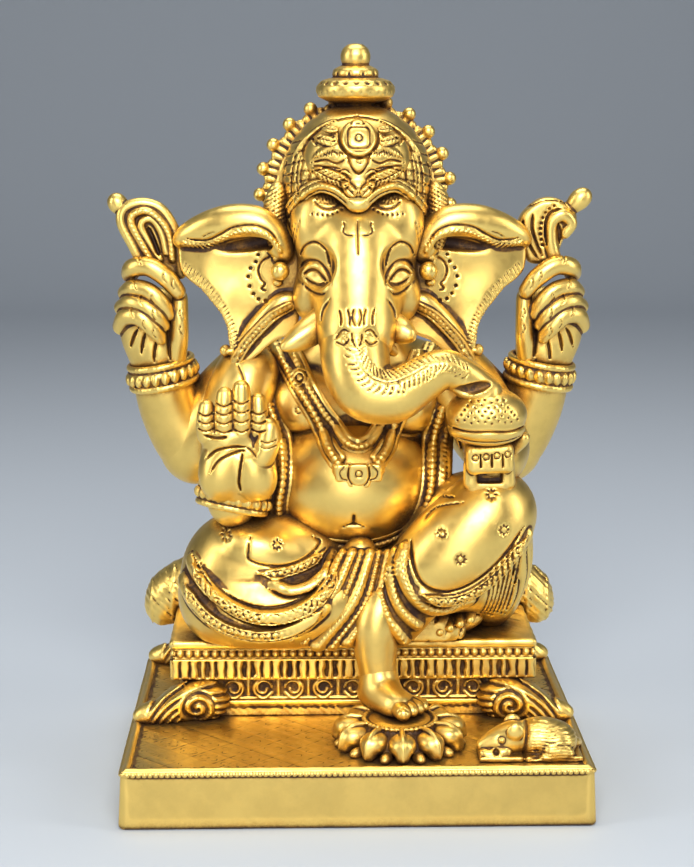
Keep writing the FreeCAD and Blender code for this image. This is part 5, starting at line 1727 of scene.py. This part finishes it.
def make_front_arms():
    clay = Clay((-56, -18, 74), (-20, 22, 138))
    clay.limb([(-33, 9, 125, 10.4), (-36.8, 4, 114, 10.3), (-38.4, -1, 104, 9.0), (-38.6, -5, 95, 7.8),
               (-37.8, -8, 87, 7.0)], soft=2)
    stamp = Stamp(clay, (-56, -20, 74), (-20, 10, 138))
    stamp.line([(-36.6, 131), (-34.4, 126.6), (-33.4, 122)], 0.5, -0.6, 2)
    show(clay, "front_right_arm")

    clay = Clay((-52, -22, 78), (-22, 6, 104), voxel=0.32)
    rows = [(math.cos(t), math.sin(t)) for t in np.linspace(0, 2 * math.pi, 33)]
    tilt = rotation((-8, 12, 0))
    centre = np.array([-37.6, -7.4, 89])
    for drop, radius, reach in ((0, 2.6, 8.2), (2.8, 1.0, 9.8), (-2.8, 1.1, 9.4)):
        ring = [centre + tilt @ np.array([reach * 1.12 * c, reach * 0.86 * s, drop]) for c, s in rows]
        clay.rod(ring, radius, 0.2)
    for k in range(22):
        turn = 2 * math.pi * k / 22
        clay.ball(centre + tilt @ np.array([11.4 * math.cos(turn), 9 * math.sin(turn), 0]),
                  (1.2, 1.2, 1.8), soft=0.1)
    show(clay, "front_right_bangle")

    clay = Clay((-52, -26, 82), (-20, -4, 132), voxel=0.34)
    clay.ball((-36.2, -14, 101), (11.4, 6, 14), (4, 0, 0))
    clay.ball((-41.2, -15.6, 98.6), (6.6, 5.4, 8.6), (0, 12, 0), soft=2)
    clay.ball((-30.6, -16, 99.4), (6.6, 5.4, 9.6), (0, -16, 0), soft=1.6)
    clay.ball((-39, -15.6, 109.6), (8.4, 4.2, 4.4), soft=2)
    clay.limb([(-45.2, -16, 110.6, 3.0), (-45.5, -16.8, 115, 2.8), (-45.2, -16.2, 119.4, 2.4)], soft=0.3)
    clay.limb([(-39.8, -16.4, 110.6, 3.2), (-39.9, -17.4, 117, 3.0), (-39.6, -16.6, 123.2, 2.6)], soft=0.3)
    clay.limb([(-34.5, -16.4, 110.6, 3.2), (-34.4, -17.4, 118, 3.0), (-34.5, -16.6, 125.2, 2.7)], soft=0.3)
    clay.limb([(-29.4, -16, 110.4, 3.0), (-29.2, -16.8, 116, 2.8), (-29.4, -16, 121.4, 2.4)], soft=0.3)
    clay.limb([(-28.6, -17.4, 104, 4.0), (-26.4, -18, 109, 3.5), (-26, -17.6, 113.4, 3.0)], soft=0.6)
    clay.ball((-34.2, -21.6, 107.4), (4.6, 2.6, 3.4), soft=1.2, carve=1)
    stamp = Stamp(clay, (-52, -28, 82), (-20, -10, 132))
    for x, tops in ((-45.3, (112.6, 115, 117.4)), (-39.8, (112.2, 115, 117.8, 120.4)),
                    (-34.5, (112.4, 115.4, 118.4, 121.2)),
                    (-29.3, (112.4, 115, 117.8))):
        for z in tops:
            stamp.line([(x - 2.2, z + 0.5), (x, z - 0.2), (x + 2.2, z + 0.5)], 0.4, -0.8)
    for z in (109.6, 107.8):
        stamp.line([(-28.6, z), (-26.4, z - 0.4), (-24, z + 0.4)], 0.36, -0.6)
    stamp.line([(-46, 111.2), (-42.4, 110.4), (-38.6, 110.8)], 0.6, -1.1, 1)
    stamp.line([(-45.6, 103.6), (-42, 106.6), (-37.6, 107.6), (-33, 107.4)], 0.5, -1.0, 2)
    stamp.line([(-44.4, 99.4), (-41.4, 103.6), (-37, 105.8), (-33.4, 106.6)], 0.5, -1.0, 2)
    stamp.line([(-34, 106.4), (-35, 101), (-35.4, 96.6), (-34.8, 93.2)], 0.5, -1.1, 2)
    stamp.line([(-29.8, 104.4), (-31.6, 106.4), (-33.6, 107.6)], 0.4, -0.7, 1)
    show(clay, "open_palm", smooth=1)

    clay = Clay((20, -26, 88), (58, 22, 138))
    clay.limb([(33, 9, 125, 10.8), (40, 4, 114, 10.8), (45, -2, 105, 9.6), (44.6, -10, 102, 7.8),
               (42.6, -14, 101.6, 6.8)], soft=2)
    stamp = Stamp(clay, (20, -28, 88), (58, 10, 138))
    for k in range(4):
        stamp.line([(27.6 + 1.6 * k, 112 - k), (29.4 + 1.6 * k, 104), (32.6 + 1.2 * k, 97)], 0.6, -0.9, 3)
    show(clay, "front_left_arm")

    clay = Clay((28, -32, 90), (56, -8, 116), voxel=0.32)
    clay.block((41, -20.8, 104.6), (7.3, 5.8, 4.8), (0, -3, 0), round_by=2.4, soft=1)
    clay.block((41, -17.6, 97.8), (6.8, 4.8, 5.4), (0, 0, 0), round_by=2.4, soft=1.5)
    clay.block((41.2, -24.4, 98.2), (4.0, 4, 1.7), (0, 0, 0), round_by=0.9, soft=0.8, carve=1)
    for x in (35.4, 46.8):
        clay.limb([(x, -20.2, 102, 2.2), (x + 0.2, -20.2, 96.4, 2.3)], soft=0.5)
    clay.limb([(47.4, -17, 106, 2.6), (50, -19, 108.4, 2.2), (51.6, -20.4, 110.2, 1.9)], soft=0.5)
    stamp = Stamp(clay, (28, -34, 90), (56, -18, 116))
    for k, x in enumerate((36.4, 39.6, 42.9, 46.2)):
        stamp.ring((x, 105.2 + 0.35 * k), 0.95, 0.36, -0.55)
        stamp.dot((x, 105.2 + 0.35 * k), 0.8, 0.3)
    for x in (37.9, 41.3, 44.6):
        stamp.line([(x, 106.2), (x + 0.1, 102.4)], 0.42, -1.1)
    show(clay, "holding_hand", smooth=1)

    clay = Clay((26, -35, 106), (54, -8, 127), voxel=0.32)
    clay.ball((40, -21.5, 118), (12.3, 11, 8.3))
    clay.ball((40, -21.5, 113.8), (11.8, 10.6, 5.6), soft=0.8)
    stamp = Stamp(clay, (26, -37, 106), (54, -10, 127))
    stamp.line([(28.4, 114.6), (34, 114.0), (40, 114.3), (46, 114.0), (51.6, 114.8)], 0.5, -0.9, 2)
    stamp.line([(30.4, 111.6), (36, 110.8), (44, 110.8), (49.8, 111.8)], 0.6, -0.5, 2)
    for row in range(6):
        for k in range(10 - row):
            x = 30.6 + 2.0 * k + 1.0 * row
            stamp.dot((x, 117.2 + 1.5 * row + 0.4 * math.sin(2.3 * k + row)), 0.55, -0.6)
    show(clay, "sweet")


# ---------------------------------------------------------------- stage


def make_stage():
    """A pale floor that curves up into a backdrop far behind."""
    profile = [(-3.0, 0.0), (1.2, 0.0)]
    profile += [(1.2 + 0.6 * math.sin(t),
                 0.6 - 0.6 * math.cos(t)) for t in np.linspace(0, math.pi / 2, 25)[1:]]
    profile += [(1.8, 4.0)]
    spots = [(x, y, z) for x in (-4.0, 4.0) for y, z in profile]
    count = len(profile)
    faces = [(i, i + 1, count + i + 1, count + i) for i in range(count - 1)]
    floor = bpy.data.meshes.new("floor")
    floor.from_pydata(spots, [], faces)
    floor.polygons.foreach_set("use_smooth", np.ones(len(faces), bool))
    obj = bpy.data.objects.new("floor", floor)
    bpy.context.scene.collection.objects.link(obj)
    material = bpy.data.materials.new("pale_floor")
    material.use_nodes = True
    shader = material.node_tree.nodes["Principled BSDF"]
    shader.inputs["Base Color"].default_value = (0.50, 0.55, 0.61, 1)
    shader.inputs["Roughness"].default_value = 0.85
    floor.materials.append(material)
    obj.location.z = -0.0002


def add_light(name, place, size, power, colour):
    """A soft rectangular panel that faces the middle of the figure."""
    data = bpy.data.lights.new(name, "AREA")
    data.shape = "RECTANGLE"
    data.size, data.size_y = size
    data.energy = power
    data.color = colour
    obj = bpy.data.objects.new(name, data)
    obj.location = place
    obj.rotation_euler = (Vector(LIT_PLACE) - Vector(place)).to_track_quat("-Z", "Y").to_euler()
    bpy.context.scene.collection.objects.link(obj)


WARM_WHITE = (1.0, 0.98, 0.95)
LIGHTS = (
    # name, place, size, power, colour
    ("key", (0.02, -0.80, 0.75), (0.55, 0.45), 8.5, (1.0, 0.985, 0.95)),
    ("front", (-0.10, -1.10, 0.30), (0.5, 0.7), 3.2, WARM_WHITE),
    ("left_fill", (-0.90, -0.35, 0.45), (0.25, 0.8), 3.0, WARM_WHITE),
    ("right_fill", (0.90, -0.30, 0.45), (0.25, 0.8), 3.0, WARM_WHITE),
    ("top", (0.0, 0.15, 1.0), (0.7, 0.5), 4, (1, 1, 1)),
)
LIT_PLACE = (0, 0, 0.12)
WORLD_COLOUR = (0.95, 0.96, 1.0, 1)
WORLD_STRENGTH = 0.20

CAMERA_PLACE = (-0.01619, -0.58908, 0.21808)
CAMERA_PITCH, CAMERA_YAW = math.radians(10.58), math.radians(1.39)
SENSOR_WIDTH_MM = 36
LENS_MM = 78.9


def make_lights():
    """A dim world and five soft panels. The plain view transform keeps the brass saturated."""
    world = bpy.data.worlds.new("studio")
    world.use_nodes = True
    background = world.node_tree.nodes["Background"]
    background.inputs[0].default_value = WORLD_COLOUR
    background.inputs[1].default_value = WORLD_STRENGTH
    bpy.context.scene.world = world
    bpy.context.scene.view_settings.view_transform = "Standard"
    for light in LIGHTS:
        add_light(*light)


def make_camera():
    data = bpy.data.cameras.new("camera")
    data.sensor_width = SENSOR_WIDTH_MM
    data.lens = LENS_MM
    obj = bpy.data.objects.new("camera", data)
    obj.location = CAMERA_PLACE
    obj.rotation_euler = (math.pi / 2 - CAMERA_PITCH, 0, -CAMERA_YAW)
    bpy.context.scene.collection.objects.link(obj)
    bpy.context.scene.camera = obj


make_stage()
make_lights()
make_camera()


# ---------------------------------------------------------------- make every piece

make_plinth()
make_seat()
for foot in ("front_right", "front_left", "back_right", "back_left"):
    make_seat_foot(f"seat_foot_{foot}")
make_lotus()
make_mouse()
make_bolster()
make_head()
make_trunk()
make_tusks()
for side in (RIGHT, LEFT):
    make_ear(side)
make_ear_studs()
make_crown()
make_crest()
make_crown_rolls()
make_finial()
make_halo()
make_torso()
make_ornaments()
make_hips()
make_folded_leg()
make_pleats()
make_raised_leg()
for side in (RIGHT, LEFT):
    make_rear_arm(side)
make_noose()
make_goad()
make_front_arms()
for name in ("seat_screws", "figure_stud", "figure_nut"):
    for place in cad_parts[name].material_slots:
        place.material = PLAIN_BRASS
